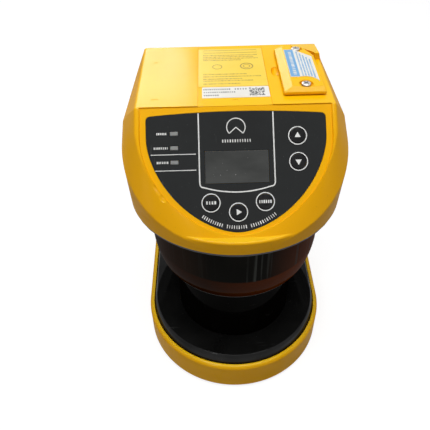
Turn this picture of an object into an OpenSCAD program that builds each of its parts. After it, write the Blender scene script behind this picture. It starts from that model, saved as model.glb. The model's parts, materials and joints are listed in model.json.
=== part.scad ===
// Safety laser scanner: a yellow head with a sloping display panel over a dark
// scan window, on a round neck that stands in a dished, yellow-rimmed base.
// Origin: on the scan axis, at the underside of the base. +Z up, front is -Y.

/* [Overall] */
// Height of the flat top above the underside of the base
total_h = 188; // [184:1:194]
// Flat rear face, behind the scan axis
rear_y = 84; // [80:1:90]
// Clearance between pieces that drop into each other
fit = 0.15; // [0.1:0.05:0.25]

/* [Head housing] */
// Half width of the flat top
top_half_w = 58; // [56:0.5:60]
// Half width of the ridge round the sides
ridge_half_w = 67.5; // [66.5:0.5:70]
// Ridge below the flat top along the sides
ridge_drop = 15; // [12:0.5:18]
// Ridge above the underside of the head, at the front
ridge_rise = 4.6; // [4:0.2:6]
// Height of the head, from its underside to the flat top
head_h = 58.5; // [56:0.5:60]
// Half width of the underside of the head
low_half_w = 66; // [65:0.5:66]
// Reach of the underside in front of the scan axis
head_front = 55; // [54.5:0.5:58]
// How far the sides draw in towards the rear face
rear_taper = 3; // [1:0.5:5]
// Wall thickness of the head housing
head_wall = 2.6; // [2:0.2:3.2]
// Rounding of the upper edges
edge_r = 2.2; // [1.5:0.1:3]
// Step from the side pads down to the label channel
channel_step = 0.5; // [0.3:0.1:1]

/* [Display panel] */
// Slope of the display panel
panel_tilt = 42.2; // [38:0.2:46]
// Fold between top and panel, behind the scan axis
fold_y = 6; // [3:0.5:9]
// Length of the rim down the slope
rim_len = 75; // [72:0.5:77]
// Rim above the floor of the display pocket
pocket_depth = 1; // [0.6:0.1:1.4]
// Half width of the display pocket
pocket_half_w = 54.4; // [53:0.2:55]
// Half width of the printed film
film_half_w = 50.8; // [50:0.2:51.6]
// Tip of the printed film, down the slope
film_len = 71.9; // [70:0.1:72.4]
// Thickness of the printed film
film_t = 0.8; // [0.5:0.1:1.2]
// Width of the screen
screen_w = 35.8; // [32:0.2:38]
// Height of the screen
screen_h = 18.3; // [16:0.1:19]
// Middle of the screen, down the slope
screen_v = 35.2; // [34:0.2:36]

/* [Keys] */
// Radius of a key cap
key_r = 4.3; // [4:0.1:4.5]
// Gap round a key cap
key_gap = 0.3; // [0.25:0.05:0.4]
// Key cap above the film
key_proud = 0.5; // [0.3:0.1:0.7]
// Travel of a key
key_travel = 0.5; // [0.3:0.1:0.6]
// Up and down keys, to the right of the middle
arrow_u = 34.5; // [33:0.5:36]
// Up key, down the slope
up_v = 18.3; // [17:0.1:19]
// Down key, down the slope
down_v = 33.1; // [32:0.1:35]
// Escape and enter keys, each side of the middle
edit_u = 15.1; // [14:0.1:16]
// Escape and enter keys, down the slope
edit_v = 55.2; // [55:0.1:56]
// Next key, down the slope
next_v = 60.7; // [60.5:0.1:61.5]

/* [Indicators] */
// Width of an indicator
lamp_w = 4.5; // [3.5:0.1:5]
// Height of an indicator
lamp_h = 2.2; // [1.6:0.1:2.6]
// Indicators, to the left of the middle
lamp_u = 35; // [34:0.5:37]
// First indicator, down the slope
lamp_v = 15.5; // [14:0.5:17]
// Distance from one indicator to the next
lamp_pitch = 8.2; // [7.5:0.1:9]

/* [Connector cover] */
// Left side of the cover's foot
cover_x0 = 28.5; // [26:0.5:30]
// Right side of the cover
cover_x1 = 53; // [50:0.5:53.5]
// Front of the cover
cover_y0 = 14; // [12:0.5:16]
// Rear of the cover
cover_y1 = 70; // [66:0.5:71]
// Corner cut off the cover at the rear right, half as wide as it is deep
cover_cut = 6.5; // [4:0.5:8]
// Height of the cover above the flat top
cover_h = 4.4; // [4:0.1:5.5]
// Width of the sloping flank on the left
cover_flank = 4.5; // [3:0.1:6]
// Radius of the cover screws' thread
cover_screw_r = 1.5; // [1.25:0.05:1.6]

/* [Labels] */
// Half width of the label channel
label_half_w = 21.1; // [20:0.1:22]
// Thickness of a label
label_t = 0.3; // [0.2:0.05:0.4]
// Depth of the serial strip, front to rear
strip_d = 12.4; // [10:0.2:14]

/* [Scan window] */
// Outer radius of the window
window_r = 54; // [53:0.25:54.25]
// Radius of the window's bottom edge
window_lip_r = 49.3; // [48.5:0.1:50]
// Height of the window
window_h = 42.1; // [40:0.1:43]
// Height of the rounded lip
window_lip_h = 8; // [6:0.5:10]
// Thickness of the window
window_t = 2.4; // [2:0.1:2.8]
// Sweep of the window round the front
window_sweep = 240; // [220:5:240]
// Thickness of the window seals
seal_t = 0.8; // [0.5:0.1:1.2]

/* [Neck and base] */
// Outer radius of the neck
neck_r = 40.8; // [40.2:0.1:41.4]
// Wall thickness of the neck
neck_wall = 2.5; // [2.2:0.1:2.8]
// Outer radius of the base, and half its width
base_r = 64.5; // [63.5:0.5:66]
// Inner radius of the base rim
rim_in_r = 61.2; // [60.7:0.1:62]
// Height of the base rim
rim_h = 25; // [22:0.5:27]
// Rounding of the base rim's outer edge
rim_round = 2.8; // [1.5:0.1:3]
// Floor thickness of the base tray
floor_t = 3; // [2.5:0.1:4]
// Thickness of the bottom plate
bottom_t = 2; // [1.5:0.1:3]
// Raised edge of the dish above the base
dish_z = 32; // [30:0.5:34]
// Radius of the raised edge of the dish
dish_r = 58.6; // [57.5:0.1:59]
// Depth of the dish at the neck
dish_sink = 2.6; // [1.5:0.1:3.5]
// Thickness of the dish plate
dish_t = 3; // [2.5:0.1:3.5]

/* [Rear housing] */
// Half width of the rear housing
rear_half_w = 46.5; // [44:0.5:46.7]
// Wall thickness of the rear housing
rear_wall = 3; // [2.5:0.1:3.5]
// Half the spacing of the rear mounting holes, side to side
mount_x = 32; // [28:1:34]
// Lower rear mounting holes above the base
mount_low_z = 48; // [44:1:52]
// Upper rear mounting holes below the underside of the head
mount_drop = 21.5; // [18:0.5:28]
// Radius of the rear mounting holes
mount_hole_r = 2.1; // [1.6:0.1:2.6]
// Depth of the rear mounting holes
mount_hole_depth = 10; // [8:0.5:12]
// Radius of the cable connector's shell
plug_r = 8; // [7:0.5:9]
// Length of the cable connector's shell
plug_len = 10; // [8:0.5:11]
// Cable connector above the base
plug_z = 50; // [48:1:54]
// Cable connector behind the scan axis
plug_y = 60; // [57:1:64]

/* [Scanning optics] */
// Beam at the scan axis below the top edge of the window
beam_drop = 24.7; // [24:0.1:26]
// Radius of the scan mirror, seen from above
mirror_r = 19; // [17:0.5:20]
// Thickness of the scan mirror
mirror_t = 2; // [1.5:0.1:2.5]
// Radius of the spindle
spindle_r = 3; // [2.5:0.1:3.5]
// Running clearance round the spindle
run_gap = 0.05; // [0.04:0.01:0.08]
// Outer radius of the motor
motor_r = 20; // [18:0.5:22]
// Length of the motor
motor_h = 24; // [22:0.5:26]
// Outer radius of a spindle bearing
bearing_r = 8; // [7:0.5:9]
// Height of a spindle bearing
bearing_h = 4; // [3:0.5:5]
// Underside of the motor plate below the bottom edge of the window
motor_plate_drop = 24.6; // [23:0.1:26]
// Thickness of the motor plate
motor_plate_t = 3; // [2.5:0.1:4]
// Radius of the encoder disc
encoder_r = 24; // [22:0.5:26]
// Inner radius of the lens tube
tube_in_r = 20; // [19.5:0.5:21]
// Thickness of the lens
lens_t = 6.5; // [5:0.5:7]
// Radius of the laser barrel
laser_r = 5; // [4:0.5:6]

/* [Boards] */
// Thickness of a circuit board
board_t = 1.6; // [1:0.2:2]
// Display board behind the housing's panel wall
board_gap = 5.4; // [5:0.1:6]
// Power board above the underside of the head
power_board_rise = 17.5; // [15:0.5:20]
// Main board above the underside of the head
main_board_rise = 38.5; // [36:0.5:40]
// Power and main boards inside the edge of the underside
board_inset = 14; // [13:0.5:18]
// Front edge of the power board, behind the scan axis
power_front = 32; // [31:0.5:36]
// Front edge of the main board, behind the scan axis
main_front = 16; // [14:0.5:20]
// Width of the service connector
socket_w = 9; // [8:0.5:11]
// Length of the service connector
socket_len = 18; // [16:0.5:20]

/* [Fasteners] */
// Thread radius of the housing screws
screw_r = 1.5; // [1.25:0.05:1.75]
// Head radius over thread radius
head_ratio = 1.85; // [1.7:0.05:2]
// Wall round a screw hole
boss_wall = 2; // [1.6:0.1:2.4]

/* [Hidden] */
$fn = 96;

eps = 0.01;
yellow = [0.96, 0.72, 0.04];
black = [0.05, 0.05, 0.055];
steel = [0.75, 0.75, 0.77];
board_green = [0.06, 0.30, 0.16];

head_low_z = total_h - head_h;
// Head outline: the ridge and the underside share one centre
head_mid_y = 5;
rim_full_v = 14;
rim_curve = 1.8;
// The film and its pocket stay wide for longer, so the rim narrows at their lower corners
film_full_v = 18;
film_curve = 1.74;
pocket_curve = 1.8;
rim_top_w = 1.4;
film_top_v = 3.4;
film_crown = 2;
film_corner = 2.4;
outline_steps = 24;
ridge_side_z = total_h - ridge_drop;
ridge_front_z = head_low_z + ridge_rise;
ridge_slope = 0.534;
frame_inset = 0.6;
head_corner_r = 5;
pad_top = total_h + channel_step;

// Display stack, measured along the panel's normal from the film's face
wall_in = -film_t - head_wall;
board_n = wall_in - board_gap;
key_flange_t = 1;
key_flange_r = key_r + 1.3;
key_stem_end = wall_in - key_flange_t - 1;
switch_top = key_stem_end - key_travel - 0.2;
screen_window_t = film_t + 0.8;
board_screw_len = board_gap + board_t - 1;
board_screw_r = 1.1;
board_hole_us = [-40, 40];
board_hole_vs = [11, 41];

// Head frame and the joint to the housing
frame_t = 4;
frame_lip = 1.5;
seal_band = 2;
seal_h = 0.5;
frame_low_z = head_low_z - seal_h - frame_lip;
frame_top_z = frame_low_z + frame_lip + frame_t;
head_screw_x = low_half_w - rear_taper - head_wall - screw_r * head_ratio - 1;
head_screw_ys = [12, 68];
head_boss_top = frame_top_z + 16;

// Window
window_top_z = frame_low_z - seal_t;
window_low_z = window_top_z - window_h;
flange_top_z = window_low_z - seal_t;
seal_r = window_lip_r - 0.3;

// Base
deck_z = bottom_t + floor_t;
hole_gap = 0.1;
base_screw_spots = [[46, -18], [rim_in_r - 7.5, 46]];
base_boss_top = deck_z + 9;

// Posts in the rear corners of the rear housing
post_r = screw_r + boss_wall + 0.5;
post_x = rear_half_w - rear_wall - post_r + 0.5;
post_y = rear_y - rear_wall - post_r - 0.5;
post_screw_len = 16;

mount_high_z = head_low_z - mount_drop;

// Optics
beam_z = window_top_z - beam_drop;
motor_plate_z = window_low_z - motor_plate_drop;
motor_low_z = motor_plate_z - motor_h;
disc_z = motor_plate_z + motor_plate_t + 7;
carrier_low_z = disc_z + 1.2;
rotor_r = motor_r - 8;
tube_wall = 2;
flange_t = 2.5;
tube_low_z = frame_top_z - 5;
tube_top_z = tube_low_z + 17;
lens_low_z = tube_low_z + 5.5;
laser_low_z = tube_low_z - 4;

// Boards
board_half_w = low_half_w - board_inset;
power_board_z = head_low_z + power_board_rise;
post_half = board_screw_r + 1.5;
main_board_z = head_low_z + main_board_rise;

function sgn(x) = x < 0 ? -1 : 1;

// Points of a rounded U, from the right over the tip to the left
function u_curve(half_w, full_v, tip_v, power) = [for (i = [0:outline_steps])
  let (t = 180 * i / outline_steps)
  [half_w * sgn(cos(t)) * pow(abs(cos(t)), 2 / power),
   -full_v - (tip_v - full_v) * pow(abs(sin(t)), 2 / power)]];

// Top edge of the film: a shallow crown from left to right, between rounded corners
function crown(half_w) = [for (i = [-8:8])
  let (s = sgn(i) * min(abs(i), 6) / 6, k = max(abs(i) - 6, 0) / 2)
  [(half_w - film_corner) * s + sgn(i) * film_corner * sin(90 * k),
   -film_top_v - film_crown * pow(s, 2) - film_corner * (1 - cos(90 * k))]];

function ridge_z(y) = min(ridge_side_z, ridge_front_z + (y + head_front) * ridge_slope);

// Half ellipse round the front of the head, from right to left, in plan
function front_arc(half_w, reach) = [for (i = [0:outline_steps])
  let (t = 180 * i / outline_steps)
  [half_w * cos(t), head_mid_y - (reach + head_mid_y) * sin(t)]];

// Everything on the sloping panel is drawn flat and laid on it:
// x across, -y down the slope, z out of the panel, zero on the film's face
module on_panel() {
  translate([0, fold_y, total_h]) rotate([panel_tilt, 0, 0]) children();
}

module slab(x0, x1, y0, y1, z0, z1) {
  translate([x0, y0, z0]) cube([x1 - x0, y1 - y0, z1 - z0]);
}

module rod(r, z0, z1) {
  translate([0, 0, z0]) cylinder(r = r, h = z1 - z0);
}

module ring(r_in, r_out, z0, z1) {
  difference() {
    rod(r_out, z0, z1);
    rod(r_in, z0 - 1, z1 + 1);
  }
}

module rounded_rect(x0, x1, y0, y1, r) {
  for (x = [x0 + r, x1 - r], y = [y0 + r, y1 - r]) translate([x, y]) circle(r = r);
  translate([x0 + r, y0]) square([x1 - x0 - 2 * r, y1 - y0]);
  translate([x0, y0 + r]) square([x1 - x0, y1 - y0 - 2 * r]);
}

module head_plan(inset) {
  w = low_half_w - inset;
  y1 = rear_y - inset;
  polygon(concat(front_arc(w, head_front - inset),
    [[-w + rear_taper, y1 - head_corner_r], [-w + rear_taper + head_corner_r, y1],
     [w - rear_taper - head_corner_r, y1], [w - rear_taper, y1 - head_corner_r]]));
}

// Outer form of the head, or its hollow when skin is the wall thickness
module head_form(skin, panel_n, low_z) {
  r = max(edge_r - skin, 0.3);
  in = skin + r;
  // Where the flat top and the panel meet, both moved in by the rounding
  fold = fold_y + ((pad_top - in - total_h) * cos(panel_tilt) - panel_n + r) / sin(panel_tilt);
  hull() {
    for (sx = [-1, 1])
      translate([sx * (top_half_w - in), rear_y - in, pad_top - in]) sphere(r = r, $fn = 16);
    on_panel()
      for (p = u_curve(top_half_w - in, rim_full_v, rim_len - in, rim_curve))
        translate([p[0], p[1], panel_n - r]) sphere(r = r, $fn = 12);
    for (sx = [-1, 1])
      translate([sx * (top_half_w - in), fold, pad_top - in]) sphere(r = r, $fn = 16);
    for (p = front_arc(ridge_half_w - in, head_front - in))
      translate([p[0], p[1], ridge_z(p[1]) - in]) sphere(r = r, $fn = 12);
    for (sx = [-1, 1], y = [head_mid_y + 14, rear_y - in])
      translate([sx * (ridge_half_w - in - (y > rear_y / 2 ? rear_taper : 0)), y, ridge_side_z - in])
        sphere(r = r, $fn = 12);
    translate([0, 0, low_z]) linear_extrude(1) head_plan(skin);
  }
}

module key_places() {
  for (p = [[arrow_u, up_v], [arrow_u, down_v], [-edit_u, edit_v], [0, next_v], [edit_u, edit_v]])
    translate([p[0], -p[1], 0]) children();
}

module lamp_places() {
  for (i = [0:2]) translate([-lamp_u, -lamp_v - i * lamp_pitch, 0]) children();
}

module board_screw_places() {
  for (u = board_hole_us, v = board_hole_vs) translate([u, -v, 0]) children();
}

module head_screw_places() {
  for (sx = [-1, 1], y = head_screw_ys) translate([sx * head_screw_x, y, 0]) children();
}

module cover_screw_places() {
  for (y = [cover_y0 + 6.3, cover_y1 - 4]) translate([cover_screw_x, y, 0]) children();
}
cover_screw_x = cover_x1 - 11;

// Outline of the film, grown by gap
module film_plan(gap) {
  polygon(concat(u_curve(film_half_w + gap, film_full_v, film_len + gap, film_curve),
    [for (p = crown(film_half_w)) [p[0], p[1] + gap]]));
}

module head_housing() {
  color(yellow) difference() {
    union() {
      difference() {
        head_form(0, pocket_depth, head_low_z);
        head_form(head_wall, wall_in, head_low_z - 0.5);
      }
      // Pads behind the panel that the display board screws to
      on_panel() board_screw_places() rod(board_screw_r + boss_wall, board_n, wall_in + 1);
      // Bosses, webbed to the side walls, for the screws that come up through the frame
      intersection() {
        for (sx = [0, 1]) mirror([sx, 0, 0]) for (y = head_screw_ys) translate([head_screw_x, y, 0]) {
          rod(screw_r + boss_wall, frame_top_z + 0.1, head_boss_top);
          slab(0, 12, -1, 1, frame_top_z + 0.1, head_boss_top);
        }
        head_form(head_wall / 2, wall_in, head_low_z - 1);
      }
      // Raised corner behind the connector cover
      raised_corner();
    }
    // Channel between the two side pads
    slab(-label_half_w, label_half_w, fold_y - 4, rear_y + 1, total_h, pad_top + 1);
    // Display pocket, then the film's own recess
    on_panel() linear_extrude(pocket_depth + 6)
      polygon(concat(u_curve(pocket_half_w, film_full_v, rim_len - rim_top_w, pocket_curve),
        [[-pocket_half_w, 0], [pocket_half_w, 0]]));
    on_panel() translate([0, 0, -film_t]) linear_extrude(film_t + 1) film_plan(fit);
    on_panel() {
      slab(-screen_w / 2 - fit, screen_w / 2 + fit, -screen_v - screen_h / 2 - fit,
           -screen_v + screen_h / 2 + fit, wall_in - 2, 1);
      key_places() rod(key_r + key_gap, wall_in - 2, 1);
      lamp_places() translate([-lamp_w / 2 - fit, -lamp_h / 2 - fit, wall_in - 2])
        cube([lamp_w + 2 * fit, lamp_h + 2 * fit, 4 - wall_in]);
      board_screw_places() rod(board_screw_r + run_gap, board_n - 1, wall_in - 0.5);
    }
    head_screw_places() rod(screw_r + run_gap, head_low_z - 1, head_boss_top - 2);
    // Opening under the connector cover, and the finger scoop beside it
    slab(cover_x0 + 6, cover_x1 - 6.5, cover_y0 + 15, cover_y1 - 12, total_h - 12, pad_top + 1);
    translate([cover_x0 - 1.5, (cover_y0 + cover_y1) / 2 + 2, pad_top + 4])
      rotate([0, 90, 0]) sphere(r = 6.4);
    cover_screw_places() rod(cover_screw_r + run_gap, pad_top - 2.2, pad_top + 1);
  }
}

// Wedge at the rear right corner: highest beside the cover, level at the rear
module raised_corner() {
  front = cover_y1 - 2 * cover_cut + 1.5;
  difference() {
    hull() {
      slab(cover_screw_x - 1, top_half_w - 0.6, front, rear_y - 2, pad_top - 1, pad_top);
      slab(cover_screw_x, top_half_w - 1.6, front + 0.6, front + 2, pad_top, pad_top + cover_h);
    }
    cover_layer(-1, pad_top, pad_top + cover_h + 1);
  }
}

// Slice of the cover's outline, moved in by inset, with its rear right corner cut off
module cover_layer(inset, z0, z1) {
  x1 = cover_x1 - inset;
  y1 = cover_y1 - inset;
  translate([0, 0, z0]) linear_extrude(z1 - z0)
    polygon([[cover_x0 + inset, cover_y0 + inset], [x1, cover_y0 + inset],
      [x1, y1 - 2 * cover_cut], [x1 - cover_cut, y1], [cover_x0 + inset, y1]]);
}

module display_film() {
  color([0.10, 0.10, 0.105]) on_panel() difference() {
    translate([0, 0, -film_t]) linear_extrude(film_t) film_plan(0);
    slab(-screen_w / 2 - fit, screen_w / 2 + fit, -screen_v - screen_h / 2 - fit,
         -screen_v + screen_h / 2 + fit, -film_t - 1, 1);
    key_places() rod(key_r + key_gap, -film_t - 1, 1);
    lamp_places() translate([-lamp_w / 2 - fit, -lamp_h / 2 - fit, -film_t - 1])
      cube([lamp_w + 2 * fit, lamp_h + 2 * fit, film_t + 2]);
  }
}

module screen_window() {
  color([0.42, 0.43, 0.43]) on_panel()
    slab(-screen_w / 2, screen_w / 2, -screen_v - screen_h / 2, -screen_v + screen_h / 2,
         -screen_window_t, 0);
}

// Glass that fills the wall's opening, on a wider carrier frame with two posts
module screen_module() {
  rim = 2.5;
  color([0.3, 0.33, 0.3]) on_panel() {
    slab(-screen_w / 2 + rim, screen_w / 2 - rim, -screen_v - screen_h / 2 + 1,
         -screen_v + screen_h / 2 - 1, wall_in - 1, -screen_window_t);
    slab(-screen_w / 2 - rim, screen_w / 2 + rim, -screen_v - screen_h / 2 - 1,
         -screen_v + screen_h / 2 + 1, board_n, wall_in - 0.2);
  }
}

module indicator_lenses() {
  color([0.55, 0.56, 0.55]) on_panel() lamp_places() {
    translate([-lamp_w / 2, -lamp_h / 2, wall_in]) cube([lamp_w, lamp_h, -wall_in]);
    translate([-lamp_w / 2 - 0.6, -lamp_h / 2 - 0.6, board_n])
      cube([lamp_w + 1.2, lamp_h + 1.2, wall_in - board_n]);
  }
}

// Cap, retaining flange and stem, turned in one piece
module key_at(u, v) {
  dome = 0.25;
  color([0.09, 0.09, 0.095]) on_panel() translate([u, -v, 0]) rotate_extrude()
    polygon([[0, key_stem_end], [1.8, key_stem_end], [1.8, wall_in - key_flange_t - 0.05],
      [key_flange_r, wall_in - key_flange_t - 0.05], [key_flange_r, wall_in - 0.05],
      [key_r, wall_in - 0.05], [key_r, key_proud - dome], [key_r - dome, key_proud],
      [0, key_proud]]);
}

module key_up() { key_at(arrow_u, up_v); }
module key_down() { key_at(arrow_u, down_v); }
module key_escape() { key_at(-edit_u, edit_v); }
module key_next() { key_at(0, next_v); }
module key_enter() { key_at(edit_u, edit_v); }

module display_board() {
  color(board_green) on_panel() translate([0, 0, board_n - board_t]) difference() {
    linear_extrude(board_t) polygon(concat(
      u_curve(film_half_w - 6, film_full_v, film_len - 3, film_curve),
      [[-film_half_w + 6, -film_top_v - 3], [film_half_w - 6, -film_top_v - 3]]));
    board_screw_places() rod(board_screw_r + hole_gap, -1, board_t + 1);
  }
}

module key_switches() {
  body = 6;
  color([0.16, 0.16, 0.17]) on_panel() key_places() {
    translate([-body / 2, -body / 2, board_n]) cube([body, body, switch_top - 0.7 - board_n]);
    rod(1.7, switch_top - 0.7 - eps, switch_top);
  }
}

module display_board_screws() {
  color(steel) on_panel() board_screw_places() {
    rod(board_screw_r, board_n - board_t, board_n - board_t + board_screw_len);
    rod(board_screw_r * head_ratio, board_n - board_t - 1.4, board_n - board_t);
  }
}

module rating_label() {
  color([0.98, 0.86, 0.12])
    slab(-label_half_w + fit, label_half_w - fit, fold_y + strip_d + 9, rear_y - 6,
         total_h, total_h + label_t);
}

module serial_label() {
  color([0.95, 0.95, 0.93])
    slab(-label_half_w + 1.5, label_half_w - 1.7, fold_y + 8.4, fold_y + 8.4 + strip_d,
         total_h, total_h + label_t);
}

// Cast cap: a low foot, then a sloping flank on the left and an eased top
module cover_body(inset) {
  z0 = pad_top + gasket_t;
  hull() {
    cover_layer(inset, z0, z0 + 0.8);
    intersection() {
      cover_layer(inset + 0.8, z0, pad_top + cover_h - inset);
      slab(cover_x0 + cover_flank + inset, cover_x1, cover_y0 + 3 + inset, cover_y1, z0, pad_top + 20);
    }
  }
}

module connector_cover() {
  wall = 1.8;
  pocket = washer_r + 0.9;
  color(yellow) difference() {
    cover_body(0);
    // Hollow between the two ends, which stay solid round the screws
    intersection() {
      translate([0, 0, -wall]) cover_body(wall);
      slab(cover_x0, cover_x1, cover_y0 + 12, cover_y1 - 10, pad_top, pad_top + cover_h);
    }
    cover_screw_places() rod(cover_screw_r + hole_gap, pad_top, pad_top + cover_h + 1);
    // Screw pockets, open towards the nearer end of the cover
    cover_screw_places() rod(pocket, pocket_z, pad_top + cover_h + 1);
    slab(cover_screw_x - pocket, cover_screw_x + pocket, cover_y0 - 1, cover_y0 + 6.3,
         pocket_z, pad_top + cover_h + 1);
    slab(cover_screw_x - pocket, cover_screw_x + pocket, cover_y1 - 4, cover_y1 + 1,
         pocket_z, pad_top + cover_h + 1);
  }
}
gasket_t = 0.6;
washer_r = 2.9;
washer_t = 0.6;
pocket_z = pad_top + 2.4;

module cover_gasket() {
  color([0.12, 0.12, 0.12]) difference() {
    cover_layer(1, pad_top, pad_top + gasket_t);
    slab(cover_x0 + 5, cover_x1 - 5.5, cover_y0 + 13, cover_y1 - 11, pad_top - 1, pad_top + 2);
    cover_screw_places() rod(cover_screw_r + hole_gap, pad_top - 1, pad_top + 2);
  }
}

module cover_washers() {
  color(steel) cover_screw_places()
    ring(cover_screw_r + hole_gap, washer_r, pocket_z, pocket_z + washer_t);
}

module cross_screw(r, seat_z, len, head_h) {
  difference() {
    union() {
      rod(r, seat_z - len, seat_z);
      rod(r * head_ratio, seat_z, seat_z + head_h);
    }
    for (a = [0, 90]) rotate(a) slab(-r, r, -r / 4, r / 4, seat_z + head_h / 2, seat_z + head_h + 1);
  }
}

module cover_screws() {
  color(steel) cover_screw_places()
    cross_screw(cover_screw_r, pocket_z + washer_t, pocket_z + washer_t - pad_top + 2, 1.8);
}

// Sticker, cut round the front screw and off at the corner behind
module cover_label() {
  x0 = cover_x0 + cover_flank + 0.9;
  x1 = cover_x1 - 2.8;
  y1 = cover_y1 - 6;
  color([0.82, 0.88, 0.95]) translate([0, 0, pad_top + cover_h]) linear_extrude(label_t) difference() {
    polygon([[x0, cover_y0 + 8.2], [x1, cover_y0 + 8.2], [x1, y1 - 10], [x0 + 6, y1], [x0, y1]]);
    translate([cover_screw_x, cover_y0 + 6.3]) circle(r = 8.3);
    translate([x0 - 1, cover_y0]) square([cover_screw_x - x0 - 3, 14]);
  }
}

module service_connector() {
  x = (cover_x0 + cover_x1) / 2;
  y = (cover_y0 + cover_y1) / 2 + 5;
  color([0.1, 0.1, 0.11]) difference() {
    slab(x - socket_w / 2, x + socket_w / 2, y - socket_len / 2, y + socket_len / 2,
         main_board_z + board_t, total_h - 2);
    slab(x - socket_w / 2 + 1.6, x + socket_w / 2 - 1.6, y - socket_len / 2 + 1.6,
         y + socket_len / 2 - 1.6, total_h - 8, total_h);
  }
}

// Cast frame that closes the head from below and carries window, optics and boards
module head_frame() {
  color([0.14, 0.14, 0.15]) difference() {
    union() {
      translate([0, 0, frame_low_z]) linear_extrude(frame_lip) head_plan(frame_inset);
      translate([0, 0, frame_low_z]) linear_extrude(frame_lip + frame_t) head_plan(head_wall + 0.4);
    }
    rod(tube_in_r + tube_wall + hole_gap, frame_low_z - 1, frame_top_z + 1);
    head_screw_places() rod(screw_r + hole_gap, frame_low_z - 1, frame_top_z + 1);
    head_screw_places() rod(screw_r * head_ratio + 0.2, frame_low_z - 1, frame_low_z + 1.8);
    // Window that passes the wiring down into the rear housing
    slab(-20, 20, rear_y - 20, rear_y - 9, frame_low_z - 1, frame_top_z + 1);
    column_screw_places() rod(screw_r + hole_gap, frame_low_z - 1, frame_top_z + 1);
    tube_screw_places() rod(board_screw_r + run_gap, frame_top_z - 4, frame_top_z + 1);
  }
}

module head_seal() {
  color([0.1, 0.1, 0.1]) translate([0, 0, head_low_z - seal_h]) linear_extrude(seal_h) difference() {
    head_plan(frame_inset);
    head_plan(head_wall + 0.4 - eps);
  }
}

module head_screws() {
  color(steel) head_screw_places() {
    rod(screw_r, frame_low_z + 1.8, head_boss_top - 6);
    rod(screw_r * head_ratio, frame_low_z + 0.2, frame_low_z + 1.8);
  }
}

module board_post_places() {
  for (sx = [-1, 1], y = [power_front + 3.5, rear_y - 12])
    translate([sx * (board_half_w - 5), y, 0]) children();
}

module lower_standoffs() {
  color(steel) board_post_places() rod(post_half, frame_top_z, power_board_z);
}

module power_board() {
  color(board_green)
    slab(-board_half_w, board_half_w, power_front, rear_y - 7, power_board_z, power_board_z + board_t);
}

module upper_standoffs() {
  color(steel) board_post_places() difference() {
    rod(post_half, power_board_z + board_t, main_board_z);
    rod(board_screw_r + run_gap, main_board_z - 5, main_board_z + 1);
  }
}

module main_board() {
  color(board_green) difference() {
    slab(-board_half_w, board_half_w, main_front, rear_y - 7, main_board_z, main_board_z + board_t);
    board_post_places()
      rod(board_screw_r + hole_gap, main_board_z - 1, main_board_z + board_t + 1);
  }
}

module board_screws() {
  z = main_board_z + board_t;
  color(steel) board_post_places() {
    rod(board_screw_r, main_board_z - 4, z);
    rod(board_screw_r * head_ratio, z, z + 1.2);
  }
}

// Tinted window: straight wall over a rounded lip, swept round the front
module scan_window() {
  steps = 8;
  outer = [for (i = [0:steps]) let (t = 90 * i / steps)
    [window_lip_r + (window_r - window_lip_r) * sin(t),
     window_low_z + window_lip_h * (1 - cos(t))]];
  inner = [for (i = [0:steps]) let (t = 90 * (steps - i) / steps)
    [window_lip_r - window_t + (window_r - window_lip_r) * sin(t),
     window_low_z + window_lip_h * (1 - cos(t))]];
  color([0.22, 0.03, 0.02, 0.8]) rotate(270 - window_sweep / 2) rotate_extrude(angle = window_sweep)
    polygon(concat(outer, [[window_r, window_top_z], [window_r - window_t, window_top_z]], inner));
}

module window_upper_seal() {
  color(black) rotate(270 - window_sweep / 2) rotate_extrude(angle = window_sweep)
    translate([window_r - window_t, window_top_z]) square([window_t, seal_t]);
}

module window_lower_seal() {
  color(black) ring(window_lip_r - window_t, seal_r, flange_top_z, window_low_z);
}

// Neck tube with a ledge for the motor plate and a flange under the window
module neck_tube() {
  in_r = neck_r - neck_wall;
  flange_r = window_lip_r - 1;
  ledge = 3;
  color(black) rotate_extrude() polygon([[neck_r, deck_z], [neck_r, flange_top_z - 6],
    [flange_r - 0.5, flange_top_z - 2.4], [flange_r, flange_top_z - 1.6], [flange_r, flange_top_z],
    [in_r, flange_top_z], [in_r, motor_plate_z], [in_r - ledge, motor_plate_z],
    [in_r - ledge, motor_plate_z - 2], [in_r, motor_plate_z - 2 - ledge], [in_r, deck_z]]);
}

// Profile of the base rim's wall, turned round the front and run back along the sides
module rim_profile() {
  steps = 6;
  low = bottom_t;
  polygon(concat([[rim_in_r, low], [base_r - 0.8, low], [base_r, low + 0.8]],
    [for (i = [0:steps]) let (t = 90 * i / steps)
      [base_r - rim_round * (1 - cos(t)), rim_h - rim_round * (1 - sin(t))]],
    [[rim_in_r, rim_h]]));
}

// U-shaped plan: half circle at the front, straight back to y1
module u_plan(r, y1) {
  circle(r = r);
  translate([-r, 0]) square([2 * r, y1]);
}

module base_tray() {
  color(yellow) difference() {
    union() {
      rotate(180) rotate_extrude(angle = 180) rim_profile();
      for (sx = [0, 1]) mirror([sx, 0, 0]) translate([0, rear_y, 0]) rotate([90, 0, 0])
        linear_extrude(rear_y) rim_profile();
      translate([0, 0, bottom_t]) linear_extrude(floor_t) u_plan(rim_in_r + 1, rear_y);
      slab(-rim_in_r - 1, rim_in_r + 1, rear_y - 3, rear_y, bottom_t, rim_h - 1);
      base_screw_places() rod(screw_r + boss_wall, bottom_t, base_boss_top);
    }
    base_screw_places() rod(screw_r + run_gap, bottom_t - 1, base_boss_top - 1);
    column_screw_places() rod(screw_r + hole_gap, bottom_t - 1, deck_z + 1);
    rear_plan_block(fit, deck_z, rim_h + 1);
  }
}

module base_screw_places() {
  for (sx = [-1, 1], p = base_screw_spots) translate([sx * p[0], p[1], 0]) children();
}

// Screws that hold the rear housing, in line with the posts in its rear corners
module column_screw_places() {
  for (sx = [-1, 1]) translate([sx * post_x, post_y, 0]) children();
}

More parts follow.
